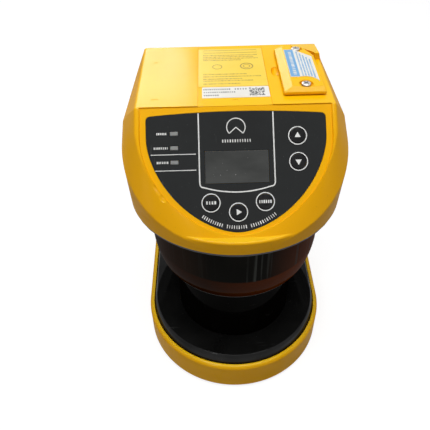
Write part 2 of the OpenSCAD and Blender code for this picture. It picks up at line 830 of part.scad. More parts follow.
module bottom_plate() {
  color([0.12, 0.12, 0.12]) difference() {
    linear_extrude(bottom_t) u_plan(base_r - 1.6, rear_y - 1.6);
    base_screw_places() plate_hole();
    column_screw_places() plate_hole();
  }
}

module plate_hole() {
  rod(screw_r + hole_gap, -1, bottom_t + 1);
  rod(screw_r * head_ratio + 0.2, -1, bottom_t - 0.6);
}

module plate_screw(top_z) {
  rod(screw_r * head_ratio, 0.2, bottom_t - 0.6);
  rod(screw_r, bottom_t - 0.6, top_z);
}

module base_screws() {
  color(steel) {
    base_screw_places() plate_screw(base_boss_top - 2);
    column_screw_places() plate_screw(deck_z + post_screw_len - 4);
  }
}

module column_screws() {
  color(steel) column_screw_places() {
    rod(screw_r, frame_low_z - post_screw_len + 4, frame_top_z);
    rod(screw_r * head_ratio, frame_top_z, frame_top_z + 1.6);
  }
}

// Glossy plate over the tray: a shallow round dish inside a raised edge,
// a skirt that drops to the rim, and straight flanks to the rear
module dish_plate() {
  r = rim_in_r - fit;
  color(black) difference() {
    union() {
      rotate(180) rotate_extrude(angle = 180) dish_profile(r);
      for (sx = [0, 1]) mirror([sx, 0, 0]) translate([0, rear_y - 3 - fit, 0]) rotate([90, 0, 0])
        linear_extrude(rear_y - 3 - fit) dish_profile(r);
    }
    // Dish
    translate([0, 0, dish_z - dish_sink]) cylinder(r1 = neck_r, r2 = dish_r - 0.8, h = dish_sink + eps);
    // Hole for the neck and slot for the rear housing
    rod(neck_r + fit, 0, dish_z + 1);
    rear_plan_block(fit, 0, dish_z + 1);
  }
}

// Half section of the dish plate, hollow underneath
module dish_profile(r) {
  skirt_z = deck_z;
  under = dish_z - dish_sink - dish_t;
  polygon([[0, under], [r - 4.4, under], [r - 2.2, under - 3], [r - 2.2, skirt_z], [r, skirt_z],
    [r, rim_h - 1], [dish_r + 1.1, dish_z - 2.2], [dish_r, dish_z], [0, dish_z]]);
}

// Plan of the rear housing: straight flanks, flat back, hollowed round the window
module rear_plan(grow) {
  difference() {
    translate([-rear_half_w - grow, 20 - grow]) square([2 * (rear_half_w + grow), rear_y - 20 + grow]);
    circle(r = window_r - window_t - grow);
  }
}

module rear_plan_block(grow, z0, z1) {
  translate([0, 0, z0]) linear_extrude(z1 - z0) rear_plan(grow);
}

module mount_places() {
  for (sx = [-1, 1], z = [mount_low_z, mount_high_z])
    translate([sx * mount_x, rear_y, z]) rotate([90, 0, 0]) children();
}

module rear_housing() {
  in_r = window_r + rear_wall;
  shelf_y = 28;
  color(black) difference() {
    union() {
      difference() {
        rear_plan_block(0, deck_z, frame_low_z);
        // Hollow behind the curved wall
        difference() {
          slab(-rear_half_w + rear_wall, rear_half_w - rear_wall, 24, rear_y - rear_wall - 1,
               deck_z + rear_wall, frame_low_z + 1);
          rod(in_r, deck_z, frame_low_z + 2);
        }
      }
      mount_places() rod(mount_hole_r + 3, 0.5, mount_hole_depth + 2);
      column_screw_places() rod(post_r, deck_z, frame_low_z);
      // Shelf that carries on the neck's flange to the rear
      difference() {
        ring(window_lip_r - 1 + fit, window_r, flange_top_z - 4, flange_top_z);
        slab(-window_r, window_r, -window_r, shelf_y, 0, total_h);
      }
    }
    for (z = [deck_z - 1, frame_low_z - post_screw_len]) column_screw_places()
      rod(screw_r + run_gap, z, z + post_screw_len + 1);
    mount_places() rod(mount_hole_r, -1, mount_hole_depth);
    // The window's ends butt against the curved wall
    rotate(270 - window_sweep / 2) rotate_extrude(angle = window_sweep)
      translate([30, window_low_z - 6]) square([window_r + fit - 30, frame_low_z - window_low_z + 7]);
    // Hole for the cable connector
    translate([-rear_half_w, plug_y, plug_z]) rotate([0, 90, 0])
      rod(plug_r - 1 + hole_gap, -1, rear_wall + 1);
  }
}

// Threaded shell with a moulded insert and five contact holes, fixed in the left flank
module cable_connector() {
  color([0.62, 0.62, 0.64]) translate([-rear_half_w, plug_y, plug_z]) rotate([0, -90, 0]) difference() {
    union() {
      rod(plug_r, 2, 2 + plug_len);
      rod(plug_r + 2.5, 0, 2);
      rod(plug_r - 1, -rear_wall - 3, eps);
    }
    ring(plug_r - 2.2, plug_r - 1.2, plug_len - 4, plug_len + 3);
    for (i = [0:4]) rotate(72 * i) translate([3.2, 0, 0]) rod(0.6, plug_len - 4, plug_len + 3);
  }
}

// Tube that carries lens and laser over the scan axis
module lens_tube() {
  out_r = tube_in_r + tube_wall;
  seat_z = lens_low_z - 1.5;
  flange_z = frame_top_z + flange_t;
  color([0.2, 0.2, 0.21]) difference() {
    rotate_extrude() polygon([[tube_in_r - 2, seat_z], [tube_in_r, seat_z - 2],
      [tube_in_r, tube_low_z], [out_r, tube_low_z], [out_r, frame_top_z], [out_r + 6, frame_top_z],
      [out_r + 6, flange_z], [out_r, flange_z], [out_r, tube_top_z], [tube_in_r, tube_top_z],
      [tube_in_r, lens_low_z], [tube_in_r - 2, lens_low_z]]);
    tube_screw_places() rod(board_screw_r + hole_gap, frame_top_z - 1, flange_z + 1);
  }
}

module receiver_lens() {
  r = tube_in_r - fit;
  steps = 8;
  edge = 2;
  color([0.8, 0.85, 0.9, 0.4]) rotate_extrude() polygon(concat([[0, lens_low_z], [r, lens_low_z],
    [r, lens_low_z + edge]], [for (i = [1:steps]) let (s = 1 - i / steps)
    [r * s, lens_low_z + edge + (lens_t - edge) * (1 - s * s)]]));
}

module laser_spider() {
  low = tube_low_z + 0.2;
  color([0.2, 0.2, 0.21]) difference() {
    union() {
      ring(tube_in_r - 2, tube_in_r - run_gap, low, low + 1.6);
      ring(laser_r + run_gap, laser_r + 1.6, low - 2, low + 1.6);
      for (a = [90, 210, 330]) rotate(a)
        slab(laser_r + 1, tube_in_r - 1, -1, 1, low, low + 1.6);
    }
    rod(laser_r + run_gap, low - 3, low + 3);
  }
}

module laser_module() {
  color([0.72, 0.6, 0.3]) difference() {
    rod(laser_r, laser_low_z, laser_low_z + 8);
    rod(2, laser_low_z - 1, laser_low_z + 3);
  }
}

module tube_screw_places() {
  for (a = [30, 150, 270]) rotate(a) translate([tube_in_r + tube_wall + 3, 0, 0]) children();
}

module lens_tube_screws() {
  z = frame_top_z + flange_t;
  color(steel) tube_screw_places() {
    rod(board_screw_r, z - flange_t - 3, z);
    rod(board_screw_r * head_ratio, z, z + 1.2);
  }
}

module detector_board() {
  color(board_green) {
    rod(tube_in_r + tube_wall, tube_top_z, tube_top_z + board_t);
    rod(4.6, tube_top_z - 3.5, tube_top_z + eps);
  }
}

module motor_plate() {
  color([0.55, 0.55, 0.57]) difference() {
    rod(neck_r - neck_wall - hole_gap, motor_plate_z, motor_plate_z + motor_plate_t);
    rod(bearing_r + run_gap, motor_plate_z - 1, motor_plate_z + motor_plate_t + 1);
    motor_screw_places()
      rod(board_screw_r + hole_gap, motor_plate_z - 1, motor_plate_z + motor_plate_t + 1);
  }
}

module motor_screw_places() {
  for (a = [60, 180, 300]) rotate(a) translate([(motor_r + rotor_r + 0.6) / 2, 0, 0]) children();
}

module motor_screws() {
  top = motor_plate_z + motor_plate_t;
  color(steel) motor_screw_places() {
    rod(board_screw_r, motor_plate_z - 4, top);
    rod(board_screw_r * head_ratio, top, top + 1.2);
  }
}

// Motor can, open at the top where it meets its plate
module motor_stator() {
  color([0.3, 0.3, 0.32]) difference() {
    rod(motor_r, motor_low_z, motor_plate_z);
    rod(rotor_r + 0.6, motor_low_z + bearing_h + 2, motor_plate_z + 1);
    rod(bearing_r + run_gap, motor_low_z + 2, motor_low_z + bearing_h + 3);
    rod(spindle_r + 1, motor_low_z - 1, motor_low_z + 4);
    motor_screw_places() rod(board_screw_r + run_gap, motor_plate_z - 5, motor_plate_z + 1);
  }
}

module spindle_bearing(z) {
  color(steel) ring(spindle_r + run_gap, bearing_r, z, z + bearing_h);
}

module lower_bearing() { spindle_bearing(motor_low_z + 2); }
module upper_bearing() { spindle_bearing(motor_plate_z - 0.5); }

module spindle() {
  color(steel) rod(spindle_r, motor_low_z + 1, disc_z + 4);
}

module motor_rotor() {
  color([0.25, 0.25, 0.27])
    ring(spindle_r + run_gap / 2, rotor_r, motor_low_z + bearing_h + 3, motor_plate_z - 1.5);
}

module encoder_disc() {
  teeth = 24;
  color([0.6, 0.62, 0.6]) difference() {
    rod(encoder_r, disc_z, disc_z + 1);
    rod(spindle_r + run_gap / 2, disc_z - 1, disc_z + 2);
    for (i = [0:teeth - 1]) rotate(360 * i / teeth)
      slab(encoder_r - 3.2, encoder_r - 1.2, -1, 1, disc_z - 1, disc_z + 2);
  }
}

module encoder_sensor() {
  top = motor_plate_z + motor_plate_t;
  color([0.08, 0.08, 0.09]) difference() {
    slab(encoder_r - 4, encoder_r + 6, -5, 5, top, disc_z + 7);
    slab(encoder_r - 5, encoder_r + 1.2, -6, 6, disc_z - 1.5, disc_z + 2.5);
    // Relief for the carrier, which turns beside it
    rod(mirror_r + 0.8, disc_z + 2, disc_z + 8);
  }
}

// Slope of the mirror: cuts a cylinder through the beam's height at 45 degrees
module mirror_side(drop) {
  translate([0, 0, beam_z - drop]) rotate([45, 0, 0]) translate([-50, -50, -100]) cube(100);
}

module mirror_carrier() {
  color([0.35, 0.35, 0.37]) difference() {
    intersection() {
      union() {
        rod(spindle_r + 6, carrier_low_z, carrier_low_z + 4);
        rod(mirror_r, carrier_low_z + 3, beam_z + mirror_r + 5);
      }
      mirror_side(mirror_t * sqrt(2));
    }
    rod(spindle_r + run_gap / 2, carrier_low_z - 1, disc_z + 4 + run_gap);
  }
}

module scan_mirror() {
  color([0.85, 0.87, 0.9]) difference() {
    intersection() {
      rod(mirror_r, beam_z - mirror_r - 8, beam_z + mirror_r + 5);
      mirror_side(0);
    }
    mirror_side(mirror_t * sqrt(2));
  }
}

head_housing();
display_film();
screen_window();
screen_module();
indicator_lenses();
key_up();
key_down();
key_escape();
key_next();
key_enter();
display_board();
key_switches();
display_board_screws();
rating_label();
serial_label();
connector_cover();
cover_gasket();
cover_screws();
cover_washers();
cover_label();
service_connector();
head_frame();
head_seal();
head_screws();
column_screws();
main_board();
board_screws();
power_board();
lower_standoffs();
upper_standoffs();
scan_window();
window_upper_seal();
window_lower_seal();
neck_tube();
dish_plate();
base_tray();
bottom_plate();
base_screws();
rear_housing();
cable_connector();
lens_tube();
lens_tube_screws();
receiver_lens();
laser_spider();
laser_module();
detector_board();
motor_plate();
motor_stator();
motor_screws();
upper_bearing();
lower_bearing();
encoder_sensor();
spindle();
motor_rotor();
encoder_disc();
mirror_carrier();
scan_mirror();
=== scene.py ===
import json
import math

import bmesh
import bpy
import numpy as np
from mathutils import Matrix, Vector


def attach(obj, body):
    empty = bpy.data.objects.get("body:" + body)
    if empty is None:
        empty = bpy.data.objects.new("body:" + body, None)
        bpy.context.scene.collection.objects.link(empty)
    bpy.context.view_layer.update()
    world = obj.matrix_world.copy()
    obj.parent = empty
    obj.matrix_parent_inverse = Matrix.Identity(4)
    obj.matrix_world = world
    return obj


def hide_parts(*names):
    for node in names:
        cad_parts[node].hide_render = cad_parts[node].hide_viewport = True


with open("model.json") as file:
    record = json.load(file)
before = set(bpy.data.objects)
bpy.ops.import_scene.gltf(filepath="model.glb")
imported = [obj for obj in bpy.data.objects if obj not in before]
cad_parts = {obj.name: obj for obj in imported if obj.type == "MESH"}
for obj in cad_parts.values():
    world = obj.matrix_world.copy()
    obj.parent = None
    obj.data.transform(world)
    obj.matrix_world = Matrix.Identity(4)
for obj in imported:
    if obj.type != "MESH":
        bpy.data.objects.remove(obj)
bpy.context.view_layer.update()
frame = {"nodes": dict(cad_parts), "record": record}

# Studio. A large soft lamp overhead, one behind whose glare lies on the flat top,
# a small one in front and a tall one on each side. The walls light the scene as
# grey and are seen as white. The camera looks down at about 43 degrees.
MM = 0.001


def linked(data, name):
    """An object that holds a mesh, a lamp or a camera, linked to the scene."""
    data.name = name
    made = bpy.data.objects.new(name, data)
    bpy.context.scene.collection.objects.link(made)
    return made


def shift(x, y, z=0.0):
    """A move given in millimetres."""
    return Matrix.Translation((x * MM, y * MM, z * MM))


def facing(place, aim, roll=0.0):
    """Stands at a place and looks at another point, both in millimetres."""
    look = (Vector(aim) - Vector(place)).to_track_quat("-Z", "Y").to_matrix().to_4x4()
    return shift(*place) @ look @ Matrix.Rotation(roll, 4, "Z")


def soft_lamp(name, place, width, height, power, aim=(0, 0, 100)):
    lamp = bpy.data.lights.new(name, "AREA")
    lamp.shape, lamp.energy = "RECTANGLE", power
    lamp.size, lamp.size_y = width * MM, height * MM
    linked(lamp, name).matrix_world = facing(place, aim)


soft_lamp("lamp_overhead", (0, -80, 1000), 700, 400, 5.8)
soft_lamp("lamp_behind", (-270, 1150, 760), 400, 280, 2.6, aim=(0, 50, 150))
soft_lamp("lamp_front", (-350, -700, 800), 90, 60, 1.0)
soft_lamp("lamp_left", (-850, -350, 450), 250, 600, 0.40)
soft_lamp("lamp_right", (750, -250, 500), 200, 600, 0.25)
lens = bpy.data.cameras.new("studio_camera")
lens.lens, lens.sensor_width = 41.83, 36
camera = linked(lens, "studio_camera")
camera.matrix_world = facing((-14.24, -242.61, 335.77), (-12.95, -11.63, 120.0), math.radians(-1.32))
bpy.context.scene.camera = camera
bpy.context.scene.view_settings.view_transform = "Standard"


def feed(tree, socket, value):
    """Links a node's input to another node's output, or sets it to a value."""
    value = getattr(value, "socket", value)
    if isinstance(value, bpy.types.NodeSocket):
        tree.links.new(value, socket)
    else:
        socket.default_value = value


def add_node(tree, kind, settings=None, sockets=None, output=0):
    """A new node, its settings made before its inputs, as one of its outputs."""
    made = tree.nodes.new(kind)
    for label, value in (settings or {}).items():
        setattr(made, label, value)
    for key, value in (sockets or {}).items():
        feed(tree, made.inputs[key], value)
    return made.outputs[output]


world = bpy.data.worlds.new("studio")
bpy.context.scene.world = world
world.use_nodes = True
walls = world.node_tree
direction = add_node(walls, "ShaderNodeTexCoord", output="Generated")
upwards = add_node(walls, "ShaderNodeSeparateXYZ", sockets={0: direction}, output="Z")
grey = add_node(walls, "ShaderNodeMapRange", sockets={
    "Value": upwards, "From Min": 0.0, "From Max": 0.75, "To Min": 0.20, "To Max": 0.16})
rays = walls.nodes.new("ShaderNodeLightPath").outputs
seen = add_node(walls, "ShaderNodeMath", sockets={0: rays["Is Camera Ray"], 1: rays["Is Glossy Ray"]})
seen = add_node(walls, "ShaderNodeMath", sockets={0: seen, 1: rays["Is Transmission Ray"]})
walls.links.new(add_node(walls, "ShaderNodeMix", sockets={"Factor": seen, "A": grey, "B": 1.0}),
                walls.nodes["Background"].inputs["Color"])


# Yellow paint of the head, the connector cover and the base tray. Satin two-pack
# paint with a fine orange peel, a little darker and duller where it was handled.
# Its walls carry painted shade, a darker and browner colour than its tops.
class Wire:
    """A node's output that takes part in arithmetic by adding Math nodes."""

    def __init__(self, finish, socket):
        self.finish, self.socket = finish, socket

    def math(self, operation, a, b):
        return self.finish.node("ShaderNodeMath", {"operation": operation}, {0: a, 1: b})

    def __add__(self, other):
        return self.math("ADD", self, other)

    def __sub__(self, other):
        return self.math("SUBTRACT", self, other)

    def __rsub__(self, other):
        return self.math("SUBTRACT", other, self)

    def __mul__(self, other):
        return self.math("MULTIPLY", self, other)

    def __abs__(self):
        return self.math("ABSOLUTE", self, 0.0)

    __radd__, __rmul__ = __add__, __mul__


class Finish:
    """One material: a Principled surface and the nodes that drive it."""

    def __init__(self, name, **constants):
        self.material = bpy.data.materials.new(name)
        self.material.use_nodes = True
        self.tree = self.material.node_tree
        self.surface = self.tree.nodes["Principled BSDF"]
        self.place = self.node("ShaderNodeTexCoord", output="Object")
        self.coat(**constants)

    def node(self, kind, settings=None, sockets=None, output=0):
        return Wire(self, add_node(self.tree, kind, settings, sockets, output))

    def noise(self, scale, detail=3.0, stretch=None):
        place = self.place if stretch is None else self.node(
            "ShaderNodeMapping", sockets={"Vector": self.place, "Scale": stretch})
        return self.node("ShaderNodeTexNoise", sockets={
            "Vector": place, "Scale": scale, "Detail": detail}, output="Fac")

    def span(self, value, low, high, to_low=0.0, to_high=1.0):
        return self.node("ShaderNodeMapRange", sockets={
            "Value": value, "From Min": low, "From Max": high, "To Min": to_low, "To Max": to_high})

    def blend(self, amount, first, second):
        return self.node("ShaderNodeMix", {"data_type": "RGBA"}, {0: amount, 6: first, 7: second}, 2)

    def bump(self, height, depth):
        return self.node("ShaderNodeBump", sockets={"Height": height, "Distance": depth}, output="Normal")

    def coat(self, colour=None, roughness=None, normal=None, **others):
        """Sets or drives the surface's sockets and returns the material."""
        sockets = {"Base Color": colour, "Roughness": roughness, "Normal": normal}
        sockets.update({label.replace("_", " "): value for label, value in others.items()})
        for label, value in sockets.items():
            if value is not None:
                feed(self.tree, self.surface.inputs[label], value)
        return self.material


def tone(red, green, blue):
    return (red, green, blue, 1.0)


def yellow_paint(name, clean, handled):
    """Satin paint, less glossy on walls than on tops, whose walls carry painted shade in a darker, browner
    colour.
    """
    paint = Finish(name, Specular_IOR_Level=0.0, Coat_Roughness=0.19)
    cloud = paint.noise(28, 4)
    specks = paint.span(paint.noise(900, 2), 0.70, 0.78)
    smear = paint.span(paint.noise(60, 5, (1, 0.25, 1)), 0.5, 0.8)
    normal = paint.node("ShaderNodeTexCoord", output="Normal")
    upward = paint.node("ShaderNodeSeparateXYZ", sockets={0: normal}, output="Z")
    level = paint.span(upward, 0.70, 0.97)
    red, green, blue = clean
    colour = paint.blend(paint.span(cloud, 0.35, 0.7), tone(*clean), tone(*handled))
    # Painted shade: faces that do not point up are given a darker, browner colour than the tops.
    painted_wall_shade = paint.blend(0.75, colour, tone(red * 0.97, green * 0.73, blue))
    colour = paint.blend(level, painted_wall_shade, colour)
    colour = paint.blend(specks * 0.35, colour, tone(0.30, 0.17, 0.02))
    peel = paint.noise(750, 2) + paint.noise(160, 2) * 0.8
    return paint.coat(colour, 0.34 + smear * 0.16 + specks * 0.2,
                      paint.bump(peel, 0.00005), Coat_Weight=level * 0.26 + 0.16 - smear * 0.12)


head_yellow = yellow_paint("head_yellow", (0.97, 0.575, 0.004), (0.93, 0.52, 0.003))


# Head housing: one cast shell, open below, with a flat top that folds into the
# sloping display panel. Its sides swell to a ridge and draw in to the underside.
# A pocket round the film, a label channel and the cover's opening are cut in it.
total_h, rear_y = 188.0, 84.0
top_half_w, ridge_half_w, low_half_w = 58.0, 67.45, 66.0
ridge_side_z, ridge_front_z, ridge_slope = 173.0, 134.1, 0.534
head_low_z, head_front, head_mid_y = 129.5, 55.0, 5.0
rear_taper, head_corner_r, head_wall, edge_r = 3.0, 5.0, 2.6, 2.2
pad_top = total_h + 0.5
panel_tilt, fold_y = math.radians(42.2), 6.0
rim_full_v, rim_len, rim_curve = 14.0, 75.0, 1.8
film_full_v, film_curve = 18.0, 1.74
pocket_half_w, pocket_depth, pocket_curve, rim_top_w = 54.4, 1.0, 1.8, 1.4
film_t = 0.8
wall_in = -film_t - head_wall


def off_panel(points):
    """Points drawn flat on the display panel, laid on its slope."""
    points = np.asarray(points, float)
    c, s = math.cos(panel_tilt), math.sin(panel_tilt)
    return np.stack([points[:, 0], fold_y + points[:, 1] * c - points[:, 2] * s,
                     total_h + points[:, 1] * s + points[:, 2] * c], axis=1)


def u_curve(half_w, full_v, tip_v, power, steps=72):
    """A U on the panel: half of a superellipse below its widest line."""
    t = np.linspace(0, math.pi, steps + 1)
    c, s = np.cos(t), np.abs(np.sin(t))
    c[steps // 2] = s[0] = s[-1] = 0
    return np.stack([half_w * np.sign(c) * np.abs(c) ** (2 / power),
                     -full_v - (tip_v - full_v) * s ** (2 / power)], axis=1)


def front_arc(half_w, reach, steps=72):
    t = np.linspace(0, math.pi, steps + 1)
    return np.stack([half_w * np.cos(t), head_mid_y - (reach + head_mid_y) * np.sin(t)], axis=1)


def ridge_z(y):
    return np.minimum(ridge_side_z, ridge_front_z + (y + head_front) * ridge_slope)


def with_height(flat, height):
    flat = np.asarray(flat, float)
    return np.column_stack([flat, np.broadcast_to(height, len(flat))])


def ball(r, rings=8, spokes=16):
    """Points on a sphere about the origin, poles left out."""
    polar = (np.arange(rings) + 0.5) * math.pi / rings
    turn = np.arange(spokes) * 2 * math.pi / spokes
    p, t = np.meshgrid(polar, turn, indexing="ij")
    return r * np.stack([np.sin(p) * np.cos(t), np.sin(p) * np.sin(t), np.cos(p)], -1).reshape(-1, 3)


def head_plan(inset, z):
    """The head's outline at its underside."""
    w, y1 = low_half_w - inset, rear_y - inset
    corner = [(-w + rear_taper, y1 - head_corner_r), (-w + rear_taper + head_corner_r, y1),
              (w - rear_taper - head_corner_r, y1), (w - rear_taper, y1 - head_corner_r)]
    return with_height(np.vstack([front_arc(w, head_front - inset), corner]), z)


def object_from(shape, name):
    """A mesh object in metres from a bmesh in millimetres, which is used up."""
    mesh = bpy.data.meshes.new(name)
    shape.to_mesh(mesh)
    shape.free()
    mesh.transform(Matrix.Scale(MM, 4))
    return linked(mesh, name)


def closed(shape, name):
    """Welds the seams of a bmesh, turns its faces outwards and makes it an object."""
    bmesh.ops.remove_doubles(shape, verts=shape.verts, dist=1e-4)
    bmesh.ops.recalc_face_normals(shape, faces=shape.faces)
    return object_from(shape, name)


def hull_of(points, name):
    """The convex solid round a cloud of points."""
    shape = bmesh.new()
    for point in points:
        shape.verts.new(point)
    found = bmesh.ops.convex_hull(shape, input=shape.verts)
    spare = {g for key in ("geom_interior", "geom_unused") for g in found[key]
             if isinstance(g, bmesh.types.BMVert)}
    bmesh.ops.delete(shape, geom=list(spare), context="VERTS")
    bmesh.ops.recalc_face_normals(shape, faces=shape.faces)
    return object_from(shape, name)


def head_form(name, skin, panel_n, low_z):
    """The head's solid form, its skin taken off, as a hull round small balls."""
    r = max(edge_r - skin, 0.3)
    inset = skin + r
    lift = (pad_top - inset - total_h) * math.cos(panel_tilt) - panel_n + r
    fold = fold_y + lift / math.sin(panel_tilt)
    rim = u_curve(top_half_w - inset, rim_full_v, rim_len - inset, rim_curve)
    arc = front_arc(ridge_half_w - inset, head_front - inset)
    centres = [off_panel(with_height(rim, panel_n - r)), with_height(arc, ridge_z(arc[:, 1]) - inset)]
    for side in (-1, 1):
        centres.append([(side * (top_half_w - inset), y, pad_top - inset) for y in (rear_y - inset, fold)])
        centres.append([(side * (ridge_half_w - inset), head_mid_y + 14, ridge_side_z - inset),
                        (side * (ridge_half_w - inset - rear_taper), rear_y - inset, ridge_side_z - inset)])
    points = (np.vstack(centres)[:, None, :] + ball(r)[None, :, :]).reshape(-1, 3)
    return hull_of(np.vstack([points, head_plan(skin, low_z), head_plan(skin, low_z + 1)]), name)


def loft(loops, name):
    """A closed solid through loops of equal length, capped at both ends."""
    shape = bmesh.new()
    rows = [[shape.verts.new(p) for p in loop] for loop in loops]
    count = len(rows[0])
    for low, high in zip(rows, rows[1:]):
        for i in range(count):
            j = (i + 1) % count
            shape.faces.new((low[i], low[j], high[j], high[i]))
    shape.faces.new(rows[0])
    shape.faces.new(rows[-1])
    return closed(shape, name)


def grown(outline, gap):
    """A convex outline in the plane moved outwards by gap."""
    outline = np.asarray(outline, float)
    ahead, behind = np.roll(outline, -1, 0), np.roll(outline, 1, 0)
    along = ahead - behind
    normal = np.stack([along[:, 1], -along[:, 0]], 1)
    normal /= np.linalg.norm(normal, axis=1)[:, None]
    centre = outline.mean(0)
    if ((outline - centre) * normal).sum() < 0:
        normal = -normal
    return outline + normal * gap


def box_loops(x0, x1, y0, y1, levels):
    """Rectangles, one for each (height, growth) pair."""
    return [with_height([(x0 - g, y0 - g), (x1 + g, y0 - g), (x1 + g, y1 + g), (x0 - g, y1 + g)], z)
            for z, g in levels]


def circle(x, y, r, steps=48):
    t = np.arange(steps) * 2 * math.pi / steps
    return np.stack([x + r * np.cos(t), y + r * np.sin(t)], 1)


def prism(plan, low, high, name):
    """A straight upright solid on a plan."""
    return loft([with_height(plan, z) for z in (low, high)], name)


def rod(x, y, r, low, high, name, steps=48):
    return prism(circle(x, y, r, steps), low, high, name)


def crate(x0, x1, y0, y1, low, high, name):
    return prism([(x0, y0), (x1, y0), (x1, y1), (x0, y1)], low, high, name)


def settled(body, name, spare=()):
    """Turns a body and its modifiers into a plain mesh and drops the helpers."""
    view = bpy.context.evaluated_depsgraph_get()
    mesh = bpy.data.meshes.new_from_object(body.evaluated_get(view))
    for old in (body, *spare):
        bpy.data.objects.remove(old)
    return linked(mesh, name)


def combined(body, operation, others, name):
    for other in others:
        step = body.modifiers.new("step", "BOOLEAN")
        step.operation, step.object, step.solver = operation, other, "MANIFOLD"
    return settled(body, name, others)


def carve(body, cutters, name):
    """The body with the cutters taken out of it, as a plain mesh."""
    return combined(body, "DIFFERENCE", cutters, name)


def joined(body, *others):
    """The body with other solids welded on, as a plain mesh."""
    return combined(body, "UNION", others, body.name)


def smoothed(piece, finish, angle=28):
    """Gives a piece its finish, and shades it smooth between its real edges."""
    piece.data.materials.clear()
    piece.data.materials.append(finish)
    shape = bmesh.new()
    shape.from_mesh(piece.data)
    bmesh.ops.remove_doubles(shape, verts=shape.verts, dist=2e-6)
    shape.to_mesh(piece.data)
    shape.free()
    piece.data.shade_smooth()
    piece.data.set_sharp_from_angle(angle=math.radians(angle))
    weigh = piece.modifiers.new("weigh", "WEIGHTED_NORMAL")
    weigh.keep_sharp = True
    return settled(piece, piece.name)


def fitted(piece, slot, *nodes, body="scanner_case"):
    """Rides a finished piece on its body in place of the CAD nodes it stands for."""
    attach(piece, body)
    if nodes:
        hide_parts(*nodes)
    return piece


def pocket_outline(gap=0.0):
    rim = u_curve(pocket_half_w, film_full_v, rim_len - rim_top_w, pocket_curve)
    return grown(np.vstack([rim, [(-pocket_half_w, -0.3), (pocket_half_w, -0.3)]]), gap)


key_places = {"up": (34.5, 18.3), "down": (34.5, 33.1), "escape": (-15.1, 55.2),
              "next": (0.0, 60.7), "enter": (15.1, 55.2)}
key_r, key_gap = 4.3, 0.3
screen_w, screen_h, screen_v = 35.8, 18.3, 35.2
lamp_w, lamp_h, lamp_u = 4.5, 2.2, 35.0
lamp_vs = (15.5, 23.7, 31.9)
label_half_w = 21.1
fit = 0.15


def panel_cutters(low, flare=0.0):
    """Openings for the keys, the screen and the indicators."""
    levels = ((low, 0.0), (-0.25, 0.0), (0.02, flare), (3.0, flare))
    cutters = []
    for name, (u, v) in key_places.items():
        cutters.append(loft([off_panel(with_height(circle(u, -v, key_r + key_gap + g), n))
                             for n, g in levels], "cut_key"))
    holes = [(0, screen_v, screen_w, screen_h)] + [(-lamp_u, v, lamp_w, lamp_h) for v in lamp_vs]
    for u, v, w, h in holes:
        cutters.append(loft([off_panel(loop) for loop in box_loops(
            u - w / 2 - fit, u + w / 2 + fit, -v - h / 2 - fit, -v + h / 2 + fit, levels)], "cut_hole"))
    return cutters


pocket = loft([off_panel(with_height(pocket_outline(g), n)) for n, g in
               ((0.0, 0.0), (pocket_depth - 0.45, 0.05), (pocket_depth - 0.15, 0.2),
                (pocket_depth + 0.05, 0.5), (pocket_depth + 6, 0.5))], "cut_pocket")
channel = loft([with_height([(-label_half_w - g, fold_y - 4), (label_half_w + g, fold_y - 4),
                             (label_half_w + g, rear_y + 1), (-label_half_w - g, rear_y + 1)], z)
                for z, g in ((total_h, 0.0), (pad_top - 0.2, 0.02), (pad_top + 0.02, 0.25),
                             (pad_top + 2, 0.25))], "cut_channel")
form = head_form("form", 0, pocket_depth, head_low_z)
# A level shelf across the front, between the rim's tip and the front edge
shelf_z, shelf_r = 138.5, 1.6
shelf = front_arc(low_half_w + 0.3 - shelf_r, head_front - shelf_r)
shelf = (with_height(shelf, shelf_z - shelf_r)[:, None, :] + ball(shelf_r)[None]).reshape(-1, 3)
shelf = hull_of(np.vstack([shelf, with_height(front_arc(low_half_w, head_front), head_low_z)]), "shelf")
form = joined(form, shelf)
hollow = head_form("hollow", head_wall, wall_in, head_low_z - 0.5)
film_half_w, film_len = 50.8, 71.9
film_top_v, film_crown, film_corner = 3.4, 2.0, 2.4


def film_outline(gap=0.0):
    """The film's edge: a rounded U under a shallow crown with rounded corners."""
    u = u_curve(film_half_w, film_full_v, film_len, film_curve)
    i = np.arange(-16, 17) / 2.0
    s, k = np.sign(i) * np.minimum(abs(i), 6) / 6, np.maximum(abs(i) - 6, 0) / 2
    top = np.stack([(film_half_w - film_corner) * s + np.sign(i) * film_corner * np.sin(k * math.pi / 2),
                    -film_top_v - film_crown * s ** 2 - film_corner * (1 - np.cos(k * math.pi / 2))], 1)
    return grown(np.vstack([u, top]), gap)


film_recess = loft([off_panel(with_height(film_outline(fit + g), n))
                    for n, g in ((-film_t, 0.0), (-0.12, 0.0), (0.02, 0.14), (1.0, 0.14))], "cut_film")
cover_x0, cover_x1, cover_y0, cover_y1, cover_h = 28.5, 53.0, 14.0, 70.0, 4.4
cover_cut, cover_flank = 6.5, 4.5
cover_screw_x, cover_screw_ys = cover_x1 - 11, (cover_y0 + 6.3, cover_y1 - 4)
opening = crate(cover_x0 + 6, cover_x1 - 6.5, cover_y0 + 15, cover_y1 - 12,
                total_h - 12, pad_top + 1, "cut_opening")


def dimple(x, y, z, half_x, half_y, depth):
    """A shallow oval hollow, as a flattened ball to cut away."""
    return hull_of(ball(1.0, 12, 32) * (half_x, half_y, depth) + (x, y, z), "cut_dimple")


def rim_dent(u, v, half_u, half_v, depth, turn):
    """The same in the rim's slope, turned to run along its edge."""
    a = math.radians(turn)
    shape = ball(1.0, 12, 32) * (half_u, half_v, depth)
    across = np.array([[math.cos(a), math.sin(a), 0], [-math.sin(a), math.cos(a), 0], [0, 0, 1]])
    return hull_of(off_panel(shape @ across + (u, -v, pocket_depth)), "cut_dent")


